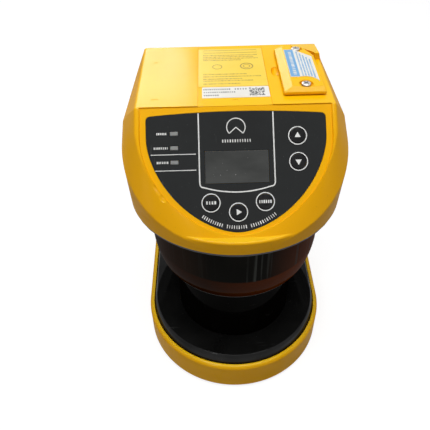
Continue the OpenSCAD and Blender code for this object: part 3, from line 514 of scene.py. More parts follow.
marks = [dimple(0.2, 11.5, total_h, 2.6, 1.1, 0.35), dimple(-48.5, 59.7, pad_top, 1.7, 0.7, 0.22),
         dimple(-46.0, 13.5, pad_top, 2.6, 0.45, 0.2),
         dimple(cover_x0 - 1.5, (cover_y0 + cover_y1) / 2 + 2, pad_top + 0.6, 3.0, 6.5, 2.8),
         rim_dent(-52.4, 36.0, 1.4, 5.5, 0.7, 22), rim_dent(-45.6, 48.4, 2.4, 6.5, 0.9, 38),
         rim_dent(-42.4, 52.4, 2.6, 3.2, 1.1, 44), rim_dent(39.8, 56.4, 0.8, 1.6, 0.4, -40)]
housing = carve(form, [hollow, pocket, film_recess, channel, opening, *marks,
                       *panel_cutters(wall_in - 2)], "housing")


def cover_plan(inset, front=None, left=None):
    """The connector cover's outline with its rear right corner cut off."""
    x0 = cover_x0 + inset if left is None else left
    x1, y1 = cover_x1 - inset, cover_y1 - inset
    y0 = cover_y0 + inset if front is None else front
    return [(x0, y0), (x1, y0), (x1, y1 - 2 * cover_cut), (x1 - cover_cut, y1), (x0, y1)]


# A raised block on the head fills the corner that the connector cover leaves
corner_y = cover_y1 - 2 * cover_cut + 1.5
corner_r = 0.6
corner_low = box_loops(cover_screw_x - 1, top_half_w - 0.6, corner_y, rear_y - 2,
                       ((pad_top - 1, 0.0), (pad_top, 0.0)))
corner_top = box_loops(cover_screw_x + 0.6, top_half_w - 2.2, corner_y + 1.2, corner_y + 2.0,
                       ((pad_top + cover_h - corner_r, 0.0),))
corner_top = (np.vstack(corner_top)[:, None, :] + ball(corner_r, 6, 12)).reshape(-1, 3)
corner = hull_of(np.vstack([*corner_low, corner_top]), "corner")
beside = prism(cover_plan(-1), pad_top, pad_top + cover_h + 2, "cut_beside")
corner = carve(corner, [beside], "corner")
housing = smoothed(joined(housing, corner), head_yellow)
fitted(housing, "yellow_paint", "head_housing")


# Display film: a thin polyester sheet with rounded corners, back-printed in dark
# charcoal and set flush in its recess. Years of wiping left it hazy and scratched.
def gloss_black(name, colour, roughness, haze, scratch, shine=0.3):
    """Dark gloss with a cloudy haze, faint straight scratches and dust."""
    gloss = Finish(name, Coat_Roughness=0.05, Specular_IOR_Level=0.0)
    cloud = gloss.span(gloss.noise(35, 4), 0.35, 0.75)
    lines = gloss.span(gloss.noise(240, 3, (0.10, 1, 1)), 0.68, 0.76) \
        + gloss.span(gloss.noise(300, 3, (1, 0.08, 0.3)), 0.70, 0.77) * 0.7
    dust = gloss.span(gloss.noise(1500, 1), 0.76, 0.80)
    shade = gloss.blend(cloud * haze, tone(*colour), tone(*(c * 2.2 + 0.004 for c in colour)))
    shade = gloss.blend(lines * scratch + dust * 0.25, shade, tone(0.26, 0.26, 0.25))
    return gloss.coat(shade, roughness + cloud * 0.08 + lines * 0.2,
                      gloss.bump(lines, 0.00002), Coat_Weight=shine - cloud * shine * 0.6)


film_black = gloss_black("film_black", (0.011, 0.012, 0.0122), 0.16, 0.8, 0.16, 0.42)
film = loft([off_panel(with_height(film_outline(g), n)) for n, g in
             ((-film_t, 0.0), (-0.1, 0.0), (-0.02, -0.05), (0.0, -0.14))], "film")
film = smoothed(carve(film, panel_cutters(-film_t - 1), "film"), film_black)
fitted(film, "film_black", "display_film")


# Printing on the film: pale ink a few hundredths thick. A frame round the screen,
# a ring round each key, two rules by the indicators and rows of plain marks.
print_t = 0.05
pale_ink = Finish("pale_ink", Specular_IOR_Level=0.4)
ink_wear = pale_ink.span(pale_ink.noise(420, 3), 0.62, 0.74)
pale_ink.coat(pale_ink.blend(ink_wear * 0.45, tone(0.78, 0.78, 0.76), tone(0.25, 0.25, 0.25)),
              0.38 + ink_wear * 0.3)
on_panel = shift(0, fold_y, total_h) @ Matrix.Rotation(panel_tilt, 4, "X")


def ribbon(path, width, looped=False):
    """Left and right edges of a flat line of even width along a path."""
    path = np.asarray(path, float)
    along = np.roll(path, -1, 0) - np.roll(path, 1, 0)
    if not looped:
        along[0], along[-1] = path[1] - path[0], path[-1] - path[-2]
    side = np.stack([-along[:, 1], along[:, 0]], 1) / np.linalg.norm(along, axis=1)[:, None]
    return path + side * width / 2, path - side * width / 2


def printed(name, strips, low, high):
    """Flat strips of ink, each a (left edge, right edge, looped) triple."""
    shape = bmesh.new()
    for left, right, looped in strips:
        rows = [[shape.verts.new((*p, z)) for p in edge]
                for edge, z in ((left, low), (right, low), (right, high), (left, high))]
        count = len(left)
        for i in range(count if looped else count - 1):
            j = (i + 1) % count
            for a, b in ((0, 1), (1, 2), (2, 3), (3, 0)):
                shape.faces.new((rows[a][i], rows[a][j], rows[b][j], rows[b][i]))
        if not looped:
            shape.faces.new([row[0] for row in rows])
            shape.faces.new([row[-1] for row in rows][::-1])
    bmesh.ops.recalc_face_normals(shape, faces=shape.faces)
    return object_from(shape, name)


frame_u, frame_end_v, frame_tip_v, frame_line = 21.1, 43.6, 49.4, 0.7
bend_u, bend_v = 2.2, 2.9
right_corner = [(frame_u - bend_u * t ** 2, -frame_end_v - bend_v * (1 - (1 - t) ** 2))
                for t in np.linspace(0, 1, 9)]
bottom_arc = [((frame_u - bend_u) * t, -frame_tip_v + (frame_tip_v - frame_end_v - bend_v) * t * t)
              for t in np.linspace(1, -1, 33)[1:-1]]
left_corner = [(-x, y) for x, y in reversed(right_corner)]
frame_path = [(frame_u, -film_top_v - 0.7), *right_corner, *bottom_arc, *left_corner,
              (-frame_u, -film_top_v - 0.7)]
strips = [(*ribbon(frame_path, frame_line), False)]
rule_u1, rule_line = -22.9, 0.4
for v, u0 in ((27.4, -48.2), (36.5, -45.9)):
    strips.append((*ribbon([(u0, -v), (rule_u1, -v)], rule_line), False))
# A plain outline of the three-quarter field that such a scanner sweeps
swept, field_r, field_v, field_line = np.radians(np.linspace(-42, 222, 45)), 5.2, 12.6, 0.5
field_arc = np.stack([field_r * np.cos(swept), -field_v + field_r * np.sin(swept)], 1)
strips.append((*ribbon(field_arc, field_line), False))
for end in (field_arc[0], field_arc[-1]):
    strips.append((*ribbon([(0, -field_v), end], field_line), False))
film_lines = printed("film_print", strips, 0.0, print_t)
film_lines.data.transform(on_panel)
fitted(smoothed(film_lines, pale_ink.material), "film_black")


class Growth:
    """A Geometry Nodes tree with named inputs that turns a mesh into repeats."""

    def __init__(self, name, **inputs):
        self.tree = bpy.data.node_groups.new(name, "GeometryNodeTree")
        kinds = {float: "NodeSocketFloat", int: "NodeSocketInt",
                 bpy.types.Material: "NodeSocketMaterial", bpy.types.Object: "NodeSocketObject"}
        self.values, self.sockets = inputs, {}
        self.tree.interface.new_socket("Geometry", in_out="INPUT", socket_type="NodeSocketGeometry")
        for label, value in inputs.items():
            kind = next(kinds[k] for k in kinds if isinstance(value, k))
            self.sockets[label] = self.tree.interface.new_socket(label, in_out="INPUT", socket_type=kind)
        self.tree.interface.new_socket("Geometry", in_out="OUTPUT", socket_type="NodeSocketGeometry")
        self.entry = self.tree.nodes.new("NodeGroupInput")

    def node(self, kind, settings=None, sockets=None, output=0):
        """A new node. A socket that is given a word takes the input of that name."""
        given = {key: self.entry.outputs[value] if isinstance(value, str) else value
                 for key, value in (sockets or {}).items()}
        return add_node(self.tree, kind, settings, given, output)

    def finish(self, geometry, seed_object, name):
        """Realizes the repeats on the seed object and returns them as a plain mesh."""
        real = self.node("GeometryNodeRealizeInstances", sockets={"Geometry": geometry})
        painted = self.node("GeometryNodeSetMaterial", sockets={
            "Geometry": real, "Material": "finish"})
        exit_node = self.tree.nodes.new("NodeGroupOutput")
        self.tree.links.new(painted, exit_node.inputs[0])
        grow = seed_object.modifiers.new("grow", "NODES")
        grow.node_group = self.tree
        for label, value in self.values.items():
            grow[self.sockets[label].identifier] = value
        return settled(seed_object, name)


def lines_of(paths, name):
    """A mesh of open polylines in millimetres, drawn in one plane."""
    shape = bmesh.new()
    for path in paths:
        corners = [shape.verts.new((*p, 0.0)) for p in path]
        for a, b in zip(corners, corners[1:]):
            shape.edges.new((a, b))
    return object_from(shape, name)


def legend(name, words, height, pitch, finish, seed, fill=0.68):
    """Plain upright marks of uneven width set along each word's line."""
    growth = Growth("legend_marks", pitch=pitch * MM, height=height * MM, thickness=print_t * MM,
                    fill=fill, seed=seed, finish=finish)
    curve = growth.node("GeometryNodeMeshToCurve", sockets={"Mesh": "Geometry"})
    points = growth.node("GeometryNodeCurveToPoints", {"mode": "LENGTH"}, {
        "Curve": curve, "Length": "pitch"})
    tangent = points.node.outputs["Tangent"]
    turn = growth.node("FunctionNodeAlignRotationToVector", {"axis": "X", "pivot_axis": "Z"}, {
        "Vector": tangent})
    width = growth.node("ShaderNodeMath", {"operation": "MULTIPLY"}, {
        0: "pitch", 1: "fill"})
    size = growth.node("ShaderNodeCombineXYZ", sockets={
        0: width, 1: "height", 2: "thickness"})
    mark = growth.node("GeometryNodeMeshCube", sockets={"Size": size})
    uneven = growth.node("FunctionNodeRandomValue", {"data_type": "FLOAT"}, {
        2: 0.55, 3: 1.15, "Seed": "seed"}, output=1)
    stretch = growth.node("ShaderNodeCombineXYZ", sockets={0: uneven, 1: 1.0, 2: 1.0})
    placed = growth.node("GeometryNodeInstanceOnPoints", sockets={
        "Points": points, "Instance": mark, "Rotation": turn, "Scale": stretch})
    return growth.finish(placed, lines_of(words, name), name)


def row(x0, x1, y):
    return [(x0, y), (x1, y)]


arc_r, arc_y = 33.6, -35.5
arc_words = [[(arc_r * math.sin(a), arc_y - arc_r * math.cos(a)) for a in np.radians(np.linspace(a0, a1, 12))]
             for a0, a1 in ((-36, -16), (-11, 7), (12, 37.5))]
film_words = legend("film_words", arc_words, 1.9, 1.25, pale_ink.material, 3, 0.42)
type_words = legend("type_words", [row(-7.6, 7.8, -20.4)], 1.7, 1.3, pale_ink.material, 14, 0.42)
lamp_ends = ((-44.6, -39.6), (-46.2, -38.9), (-44.6, -38.8))
lamp_rows = [row(u0, u1, -v) for v, (u0, u1) in zip(lamp_vs, lamp_ends)]
lamp_words = legend("lamp_words", lamp_rows, 1.25, 0.95, pale_ink.material, 5)
for words in (film_words, type_words, lamp_words):
    words.data.transform(on_panel @ shift(0, 0, print_t / 2))
    fitted(words, "film_black")


# Keys: five round caps with a softly domed face, moulded in black and lettered in
# pale ink. Each stands a little proud of the film and presses its own switch.
key_proud, key_stem_end = 0.5, wall_in - 2.0
key_black = Finish("key_black", Specular_IOR_Level=0.0, Coat_Roughness=0.1)
key_polish = key_black.span(key_black.noise(300, 3), 0.4, 0.7)
key_black.coat(key_black.blend(key_polish, tone(0.008, 0.008, 0.0085), tone(0.018, 0.018, 0.018)),
               0.22 + key_polish * 0.16, key_black.bump(key_black.noise(2200, 2), 0.00001), Coat_Weight=0.3)


def turned(profile, name, steps=64, sweep=360.0, start=0.0):
    """A closed solid turned about the axis from a closed profile of (r, z) points."""
    shape = bmesh.new()
    whole = sweep >= 360
    count = steps if whole else steps + 1
    rings = []
    for i in range(count):
        a = math.radians(start + sweep * i / steps)
        rings.append([shape.verts.new((r * math.cos(a), r * math.sin(a), z)) for r, z in profile])
    for i in range(steps):
        near, far = rings[i], rings[(i + 1) % count]
        for j in range(len(profile)):
            k = (j + 1) % len(profile)
            shape.faces.new((near[j], far[j], far[k], near[k]))
    if not whole:
        shape.faces.new(rings[0])
        shape.faces.new(rings[-1])
    return closed(shape, name)


def merged(pieces, name):
    """Several helper pieces as one mesh, in place."""
    shape = bmesh.new()
    for part in pieces:
        shape.from_mesh(part.data)
        bpy.data.objects.remove(part)
    mesh = bpy.data.meshes.new(name)
    shape.to_mesh(mesh)
    shape.free()
    return linked(mesh, name)


def rounded(profile, radius, steps=4):
    """The profile with each corner marked by a third value cut round by it."""
    result, count = [], len(profile)
    for i, corner in enumerate(profile):
        here = np.array(corner[:2], float)
        bend = corner[2] * radius if len(corner) > 2 else 0
        if not bend:
            result.append(tuple(here))
            continue
        before, after = (np.array(profile[j % count][:2], float) - here for j in (i - 1, i + 1))
        near = here + before / np.linalg.norm(before) * bend
        far = here + after / np.linalg.norm(after) * bend
        for t in np.linspace(0, 1, steps + 1):
            result.append(tuple((1 - t) ** 2 * near + 2 * t * (1 - t) * here + t ** 2 * far))
    return result


bead_in_r, bead_r, bead_out_r, bead_h, bead_sink, ring_in_r = 4.64, 5.3, 6.0, 0.38, 0.05, 4.76
bead_profile = rounded([(bead_in_r, 0.0), (bead_in_r, bead_h, 1), (bead_r, bead_h, 1),
                        (bead_out_r, 0.0)], 0.22)
beads, rings = [], []
for u, v in key_places.values():
    bead = turned([(r, z - bead_sink) for r, z in bead_profile], "bead", 72)
    ring = printed("ring", [(circle(0, 0, ring_in_r, 72), circle(0, 0, bead_r, 72), True)],
                   bead_h - 0.1, bead_h)
    for part, group in ((bead, beads), (ring, rings)):
        part.data.transform(on_panel @ shift(u, -v))
        group.append(part)
fitted(smoothed(merged(beads, "key_beads"), film_black), "film_black")
fitted(smoothed(merged(rings, "key_rings"), pale_ink.material), "film_black")
stem_r, flange_w, flange_low, flange_high = 1.8, 1.3, wall_in - 1.05, wall_in - 0.05
key_profile = rounded([(0, key_stem_end), (stem_r, key_stem_end), (stem_r, flange_low),
                       (key_r + flange_w, flange_low), (key_r + flange_w, flange_high), (key_r, flange_high),
                       (key_r, key_proud, 1), (key_r * 0.6, key_proud - 0.02, 0.5),
                       (0, key_proud - 0.16)], 0.28)
arrows = {"up": 90, "down": -90, "next": 0}
key_words = {"escape": dict(half=2.3, pitch=1.28, seed=11), "enter": dict(half=3.1, pitch=1.15, seed=8)}
arrow_r, mark_sink, mark_proud = 2.0, 0.2, 0.02
for name, (u, v) in key_places.items():
    cap = turned(key_profile, "key_" + name + "_cap", 72)
    if name in arrows:
        corners = np.radians(arrows[name] + np.array([0, 120, -120]))
        arrow = arrow_r * np.stack([np.cos(corners), np.sin(corners)], 1)
        mark = prism(arrow, key_proud - mark_sink, key_proud + mark_proud, "key_mark")
    else:
        word = key_words[name]
        mark = legend("key_mark", [row(-word["half"], word["half"], 0)], 1.7, word["pitch"],
                      pale_ink.material, word["seed"])
        mark.data.transform(shift(0, 0, key_proud - mark_proud))
    mark.name = "key_" + name + "_mark"
    for piece in (cap, mark):
        piece.data.transform(on_panel @ shift(u, -v))
    fitted(smoothed(cap, key_black.material), "key_black", "key_" + name, body="key_" + name + "_cap")
    fitted(smoothed(mark, pale_ink.material), "key_black", body="key_" + name + "_cap")


# Screen: a small liquid-crystal display behind clear glass, unlit, so it shows
# as cloudy mid grey. The glass sits a hair below the film with eased edges.
screen_grey = Finish("screen_grey", Specular_IOR_Level=0.0, Coat_Weight=0.8, Coat_Roughness=0.04)
veil = screen_grey.span(screen_grey.noise(45, 4, (1, 2.2, 2.2)), 0.3, 0.75)
spots = screen_grey.span(screen_grey.noise(1100, 1), 0.785, 0.80)
screen_grey.coat(screen_grey.blend(spots * 0.8, screen_grey.blend(
    veil, tone(0.022, 0.024, 0.022), tone(0.052, 0.054, 0.051)), tone(0.5, 0.5, 0.5)), 0.3 + veil * 0.1)


def eased_block(w, h, low, high, ease, r, steps=6):
    """A plate with rounded corners and an eased upper edge, flat in the plane."""
    loops = []
    for z, g in ((low, 0.0), (high - ease, 0.0), (high - ease * 0.3, ease * 0.35), (high, ease)):
        loop = []
        for cx, cy, a0 in ((1, 1, 0), (-1, 1, 90), (-1, -1, 180), (1, -1, 270)):
            for t in np.radians(np.linspace(a0, a0 + 90, steps + 1)):
                loop.append((cx * (w / 2 - r) + (r - g) * math.cos(t),
                             cy * (h / 2 - r) + (r - g) * math.sin(t)))
        loops.append(with_height(loop, z))
    return loops


glass = loft(eased_block(screen_w, screen_h, -1.6, -0.04, 0.12, 0.4), "screen_glass")
glass.data.transform(on_panel @ shift(0, -screen_v))
fitted(smoothed(glass, screen_grey.material), "screen_glass", "screen_window")


# Indicators: three light pipes of frosted plastic, grey when unlit, pushed in
# from behind until their faces stand level with the film.
lamp_grey = Finish("lamp_grey", Subsurface_Weight=0.15, Subsurface_Scale=0.001)
frost = lamp_grey.noise(700, 2)
lamp_grey.coat(lamp_grey.blend(frost, tone(0.15, 0.155, 0.15), tone(0.23, 0.235, 0.225)), 0.32 + frost * 0.15)
pipes = []
for v in lamp_vs:
    pipes.append(loft(eased_block(lamp_w, lamp_h, wall_in, 0.08, 0.2, 0.35), "pipe"))
    pipes.append(loft(eased_block(lamp_w + 1.2, lamp_h + 1.2, wall_in - 5.4, wall_in, 0.1, 0.35), "foot"))
    for part in pipes[-2:]:
        part.data.transform(shift(-lamp_u, -v))
lenses = merged(pipes, "indicator_pipes")
lenses.data.transform(on_panel)
fitted(smoothed(lenses, lamp_grey.material), "lamp_lens", "indicator_lenses")


# Labels on the flat top: a lemon rating label with fine brown print and a white
# strip in front of it. Both are thin printed vinyl stuck in the label channel.
label_t = 0.3


def vinyl(name, colour, worn):
    """A satin print or sheet that has faded in patches."""
    sheet = Finish(name, Specular_IOR_Level=0.45)
    blotch = sheet.span(sheet.noise(50, 4), 0.4, 0.75)
    return sheet.coat(sheet.blend(blotch * 0.6, tone(*colour), tone(*worn)), 0.34 + blotch * 0.14,
                      sheet.bump(sheet.noise(350, 2), 0.00003))


lemon_vinyl = vinyl("lemon_vinyl", (0.92, 0.66, 0.045), (0.84, 0.58, 0.035))
white_vinyl = vinyl("white_vinyl", (0.83, 0.82, 0.78), (0.72, 0.70, 0.62))
brown_ink = vinyl("brown_ink", (0.30, 0.19, 0.02), (0.48, 0.32, 0.035))
dark_ink = vinyl("dark_ink", (0.10, 0.10, 0.10), (0.20, 0.20, 0.19))


def sticker(name, box, low, finish, r=0.5):
    x0, x1, y0, y1 = box
    made = loft(eased_block(x1 - x0, y1 - y0, 0, label_t, 0.06, r), name)
    made.data.transform(shift((x0 + x1) / 2, (y0 + y1) / 2, low))
    return smoothed(made, finish)


rating_box = (-label_half_w + fit, label_half_w - fit, fold_y + 21.4, rear_y - 6)
strip_box = (-label_half_w + 2.4, label_half_w - 0.3, fold_y + 8.4, fold_y + 20.8)
fitted(sticker("rating_sticker", rating_box, total_h, lemon_vinyl), "label_yellow", "rating_label")
fitted(sticker("serial_sticker", strip_box, total_h, white_vinyl), "label_white", "serial_label")


def fine_print(name, words, height, pitch, finish, seed, top):
    made = legend(name, words, height, pitch, finish, seed)
    made.data.transform(shift(0, 0, top + print_t / 2))
    return made


label_top = total_h + label_t
row_ends = ((68.6, 17.0), (66.2, 14.5), (63.9, 17.2), (61.6, 6.0), (42.6, 8.5), (39.6, 17.2), (36.6, 5.5),
            (34.3, 12.0), (30.6, 4.0))
text_rows = [row(-17.5, x1, y) for y, x1 in row_ends]
fitted(fine_print("rating_print", text_rows, 1.0, 0.85, brown_ink, 21, label_top), "label_yellow")
box_edge = [(-17.6, 72.2), (17.4, 72.2), (17.4, 75.8), (-17.6, 75.8)]
box_lines = printed("rating_box", [(*ribbon(box_edge, 0.35, True), True),
                                   (circle(-9, 52.5, 2.7), circle(-9, 52.5, 3.1), True),
                                   (circle(9.6, 52.8, 3.5), circle(9.6, 52.8, 4.2), True),
                                   (circle(9.6, 52.8, 1.9), circle(9.6, 52.8, 2.3), True)],
                    label_top, label_top + print_t)
fitted(smoothed(box_lines, brown_ink), "label_yellow")
strip_rows = [row(-17.6, -2.5, 23.9), row(1.0, 7.2, 23.9), row(-17.4, 0.4, 20.5), row(-17.4, -9.5, 17.1)]
fitted(fine_print("strip_print", strip_rows, 1.45, 1.25, dark_ink, 23, label_top), "label_white")

# Code on the white strip: a block of small dark squares at its right end, sown at
# random from a fixed seed.
sown = Growth("sown_squares", size=8.4 * MM, cell=0.62 * MM, count=14, thickness=print_t * MM, seed=4,
              finish=dark_ink)
grid = sown.node("GeometryNodeMeshGrid", sockets={
    "Size X": "size", "Size Y": "size",
    "Vertices X": "count", "Vertices Y": "count"})
keep = sown.node("FunctionNodeRandomValue", {"data_type": "BOOLEAN"}, {
    "Probability": 0.56, "Seed": "seed"}, output=3)
dots = sown.node("GeometryNodeMeshToPoints", sockets={"Mesh": grid, "Selection": keep})
size = sown.node("ShaderNodeCombineXYZ", sockets={
    0: "cell", 1: "cell", 2: "thickness"})
square = sown.node("GeometryNodeMeshCube", sockets={"Size": size})
sown_dots = sown.node("GeometryNodeInstanceOnPoints", sockets={"Points": dots, "Instance": square})
code = sown.finish(sown_dots, lines_of([row(0, 1, 0)], "strip_code"), "strip_code")
code.data.transform(shift(13.6, 20.6, label_top + print_t / 2))
fitted(code, "label_white")


# Connector cover: a cast cap over the service socket, with eased edges, a sloping
# left flank and a cut-back pocket round each of its two screws, on a thin gasket.
gasket_top, cover_top = pad_top + 0.6, pad_top + cover_h
pocket_z, washer_r, washer_t = pad_top + 2.4, 2.9, 0.6
ease, pocket_r, bolt_r, front_lift = 0.7, washer_r + 0.9, 1.6, 1.6
outlines = [(cover_plan(0.0), gasket_top + ease), (cover_plan(0.1), gasket_top + ease + 0.7),
            (cover_plan(0.8, front=cover_y0 + 3, left=cover_x0 + cover_flank), cover_top - ease)]
corners = np.vstack([with_height(grown(plan, -ease), z) for plan, z in outlines])
cover = hull_of((corners[:, None, :] + ball(ease, 8, 16)[None]).reshape(-1, 3), "cover")
cuts = [crate(0, 100, 0, 100, gasket_top - 3, gasket_top + 0.02, "cut_foot")]
for y, end, lift in zip(cover_screw_ys, (cover_y0 - 3, cover_y1 + 3), (front_lift, 0.0)):
    spread = circle(cover_screw_x, y, pocket_r)
    levels = ((pocket_z, -0.25), (pocket_z + 0.25, 0.0), (cover_top - 0.3, 0.1), (cover_top + 0.3, 0.6))
    cuts.append(loft([with_height(grown(spread, g), z) for z, g in levels], "cut_round"))
    cuts.append(crate(cover_screw_x - pocket_r, cover_screw_x + pocket_r, *sorted((y, end)),
                      pocket_z + lift, cover_top + 2, "cut_end"))
    cuts.append(rod(cover_screw_x, y, bolt_r, pad_top - 1, pocket_z + 1, "cut_bolt"))
cover = smoothed(carve(cover, cuts, "service_cover"), head_yellow)
fitted(cover, "yellow_paint", "connector_cover")

# Cover label: a white sheet cut round the front screw, with a blue band and rows
# of blue marks that run back from the front.
x0, x1, y0, y1 = cover_x0 + cover_flank + 0.9, cover_x1 - 2.8, cover_y0 + 8.2, cover_y1 - 6
sheet_plan = [(x0, y0), (x1, y0), (x1, y1 - 10), (x0 + 6, y1), (x0, y1)]
y_low = cover_y0 + 14
sheet_cuts = [rod(cover_screw_x, cover_screw_ys[0], 8.3, 0, total_h + 100, "cut_round", 64),
              crate(x0 - 1, cover_screw_x - 4, cover_y0, y_low, 0, total_h + 100, "cut_front")]
cover_sheet = prism(sheet_plan, cover_top, cover_top + label_t, "sheet")
cover_sheet = carve(cover_sheet, sheet_cuts, "cover_sticker")
fitted(smoothed(cover_sheet, white_vinyl), "label_white", "cover_label")
blue_ink = vinyl("blue_ink", (0.13, 0.36, 0.66), (0.20, 0.45, 0.72))
band = loft(eased_block(5.4, y1 - y_low - 0.6, 0, print_t, 0.02, 0.4), "cover_band")
band.data.transform(shift(x0 + 3.0, (y_low + y1) / 2, cover_top + label_t))
fitted(smoothed(band, blue_ink), "label_white")


def upright(x, y0, y1):
    return [(x, y0), (x, y1)]


columns = [upright(x0 + dx, y_low + a, y1 - b) for dx, a, b in
           ((7.6, 1.0, 3.6), (9.3, 0.6, 6.2), (11.0, 0.4, 8.8), (12.7, 0.6, 11.6), (14.4, -1.5, 14.0))]
fitted(fine_print("cover_print", columns, 0.95, 0.85, blue_ink, 31, cover_top + label_t), "label_white")
heading = [upright(x0 + 3.2, y_low + 3, y_low + 9.5), upright(x0 + 3.2, y_low + 12, y1 - 4)]
fitted(fine_print("cover_heading", heading, 1.9, 1.7, white_vinyl, 33, cover_top + label_t + print_t),
       "label_white")


# Cover screws: two pan-head steel screws with a cross recess, each on a plain
# washer in its pocket.
steel = Finish("bright_steel", Metallic=1.0)
brushed = steel.noise(900, 3, (1, 1, 0.2))
tarnish = steel.span(steel.noise(180, 4), 0.5, 0.75)
steel.coat(steel.blend(tarnish, tone(0.62, 0.61, 0.59), tone(0.36, 0.34, 0.31)),
           0.22 + brushed * 0.14 + tarnish * 0.15, steel.bump(brushed, 0.00002))


def screw_shape(r, length, head_r, head_h, name):
    """A screw whose head stands on z = 0 with its shank below."""
    body = turned(rounded([(0, -length), (r * 0.8, -length), (r, -length + 0.4), (r, 0), (head_r, 0),
                           (head_r, head_h, 1), (0, head_h)], head_h * 0.55), name, 40)
    slots = []
    for a in (0, math.pi / 2):
        arm = loft(box_loops(-head_r * 0.62, head_r * 0.62, -head_r * 0.13, head_r * 0.13,
                             ((head_h * 0.45, -0.02), (head_h + 0.5, 0.06))), "cut_slot")
        arm.data.transform(Matrix.Rotation(a, 4, "Z"))
        slots.append(arm)
    return smoothed(carve(body, slots, name), steel.material)


def screws(name, spots, r, length, head_r, head_h):
    """Copies of one screw, each turned differently, at the spots given in millimetres."""
    model = screw_shape(r, length, head_r, head_h, "model_screw")
    growth = Growth("screw_set", screw=model, seed=7, finish=steel.material)
    shape = growth.node("GeometryNodeObjectInfo", {"transform_space": "ORIGINAL"},
                        {"Object": "screw"}, output="Geometry")
    angle = growth.node("FunctionNodeRandomValue", {"data_type": "FLOAT"}, {
        2: 0.0, 3: math.pi, "Seed": "seed"}, output=1)
    spin = growth.node("ShaderNodeCombineXYZ", sockets={0: 0.0, 1: 0.0, 2: angle})
    points = growth.node("GeometryNodeMeshToPoints", sockets={"Mesh": "Geometry"})
    placed = growth.node("GeometryNodeInstanceOnPoints", sockets={
        "Points": points, "Instance": shape, "Rotation": spin})
    seeds = bmesh.new()
    for spot in spots:
        seeds.verts.new(spot)
    made = growth.finish(placed, object_from(seeds, name), name)
    bpy.data.objects.remove(model)
    return made


cover_spots = [(cover_screw_x, y, pocket_z + washer_t) for y in cover_screw_ys]
fitted(screws("cover_screw_pair", cover_spots, 1.5, 5.0, 2.78, 1.8), "bright_steel", "cover_screws")
washer_in_r = 1.62
washer_profile = rounded([(washer_in_r, 0), (washer_r, 0, 1), (washer_r, washer_t, 1),
                          (washer_in_r, washer_t, 1)], 0.15)
washers = []
for y in cover_screw_ys:
    washers.append(turned(washer_profile, "washer", 48))
    washers[-1].data.transform(shift(cover_screw_x, y, pocket_z))
fitted(smoothed(merged(washers, "cover_washer_pair"), steel.material), "bright_steel", "cover_washers")


# Scan window: one moulding of dark red filter plastic, nearly black face on. Its red-brown
# lower lip and flanks, strongest to the right, are painted light for the light that comes
# through a long path in the plastic, and grey vertical streaks to the right are painted reflections.
window_r, window_lip_r, window_low_z, window_lip_h, window_t = 54.0, 49.3, 84.6, 19.4, 2.4
window_top_z, lip_bend, window_sweep = 126.7, (window_r - 0.9, window_low_z + 5.5), 240
window_start, lip_top = 270 - window_sweep / 2, (window_low_z + window_lip_h) * MM
window_red = Finish("window_red", Specular_IOR_Level=0.0, Coat_Weight=0.05, Coat_Roughness=0.04)
across, height = (window_red.node("ShaderNodeSeparateXYZ", sockets={0: window_red.place}, output=axis)
                  for axis in "XZ")
tapered = window_red.span(height, lip_top - 0.0010, lip_top + 0.0004, 1.0, 0.0)
aside = window_red.span(abs(across), 0.016, 0.053)
to_right = window_red.span(across, -0.02, 0.045)
# Painted reflections: pale grey vertical streaks above the lip, faint at the left and strong towards the
# right.
reflection_side = window_red.span(across, -0.012, 0.012, 0.12, 0.9)
painted_streaks = window_red.span(window_red.noise(420, 3, (1, 1, 0.012)), 0.58, 0.70) * (1 - tapered)
smudge = window_red.span(window_red.noise(45, 4, (1, 1, 0.5)), 0.45, 0.75)
face = window_red.blend(smudge, tone(0.0035, 0.0030, 0.0016), tone(0.010, 0.008, 0.005))
# Painted light: red-brown on the flanks and the lower lip, stronger to the right, stands in for light through
# the plastic.
flank = window_red.blend(to_right, tone(0.040, 0.012, 0.002), tone(0.200, 0.038, 0.002))
taper = window_red.blend(to_right, tone(0.028, 0.0070, 0.001), tone(0.150, 0.028, 0.001))
shade = window_red.blend(tapered, window_red.blend(aside * 0.8, face, flank), taper)
window_red.coat(window_red.blend(painted_streaks * reflection_side, shade, tone(0.060, 0.062, 0.056)), 0.05 + smudge * 0.08)
bend = np.linspace(0, 1, 17)[:, None]
lip = (1 - bend) ** 2 * (window_lip_r, window_low_z) + 2 * bend * (1 - bend) * lip_bend \
    + bend ** 2 * (window_r, window_low_z + window_lip_h)
window_outer = [*map(tuple, lip), (window_r, window_top_z)]
window_profile = window_outer + [(r - window_t, z) for r, z in reversed(window_outer)]
window = turned(window_profile, "window_moulding", 160, window_sweep, window_start)
fitted(smoothed(window, window_red.material), "window_red", "scan_window")


# Neck and dish plate: two black mouldings. The neck is a satin tube that flares
# to a flange under the window. The dish is polished, so it mirrors the room.
satin = gloss_black("satin_black", (0.0020, 0.0016, 0.0012), 0.26, 0.08, 0.03, 0.035)
polished = gloss_black("polished_black", (0.005, 0.005, 0.0048), 0.05, 0.6, 0.10, 0.40)
neck_r, neck_wall, neck_ledge, deck_z = 40.8, 2.5, 3.0, 5.0
flange_top, flange_r, ledge_z = 83.8, 48.3, 60.0
neck_in_r = neck_r - neck_wall
neck_profile = rounded([(neck_r, deck_z), (neck_r, flange_top - 6, 4), (flange_r - 0.5, flange_top - 2.4, 1),
                        (flange_r, flange_top - 1.6), (flange_r, flange_top, 1), (neck_in_r, flange_top),
                        (neck_in_r, ledge_z), (neck_in_r - neck_ledge, ledge_z),
                        (neck_in_r - neck_ledge, ledge_z - 2), (neck_in_r, ledge_z - 5),
                        (neck_in_r, deck_z)], 0.5)
fitted(smoothed(turned(neck_profile, "neck_column", 144), satin), "moulded_black", "neck_tube")

rim_in_r, rim_h, rim_round, base_r = 61.2, 25.0, 2.8, 64.5
dish_z, dish_r, dish_sink, dish_t = 32.0, 58.6, 2.6, 3.0
rear_half_w = 46.5


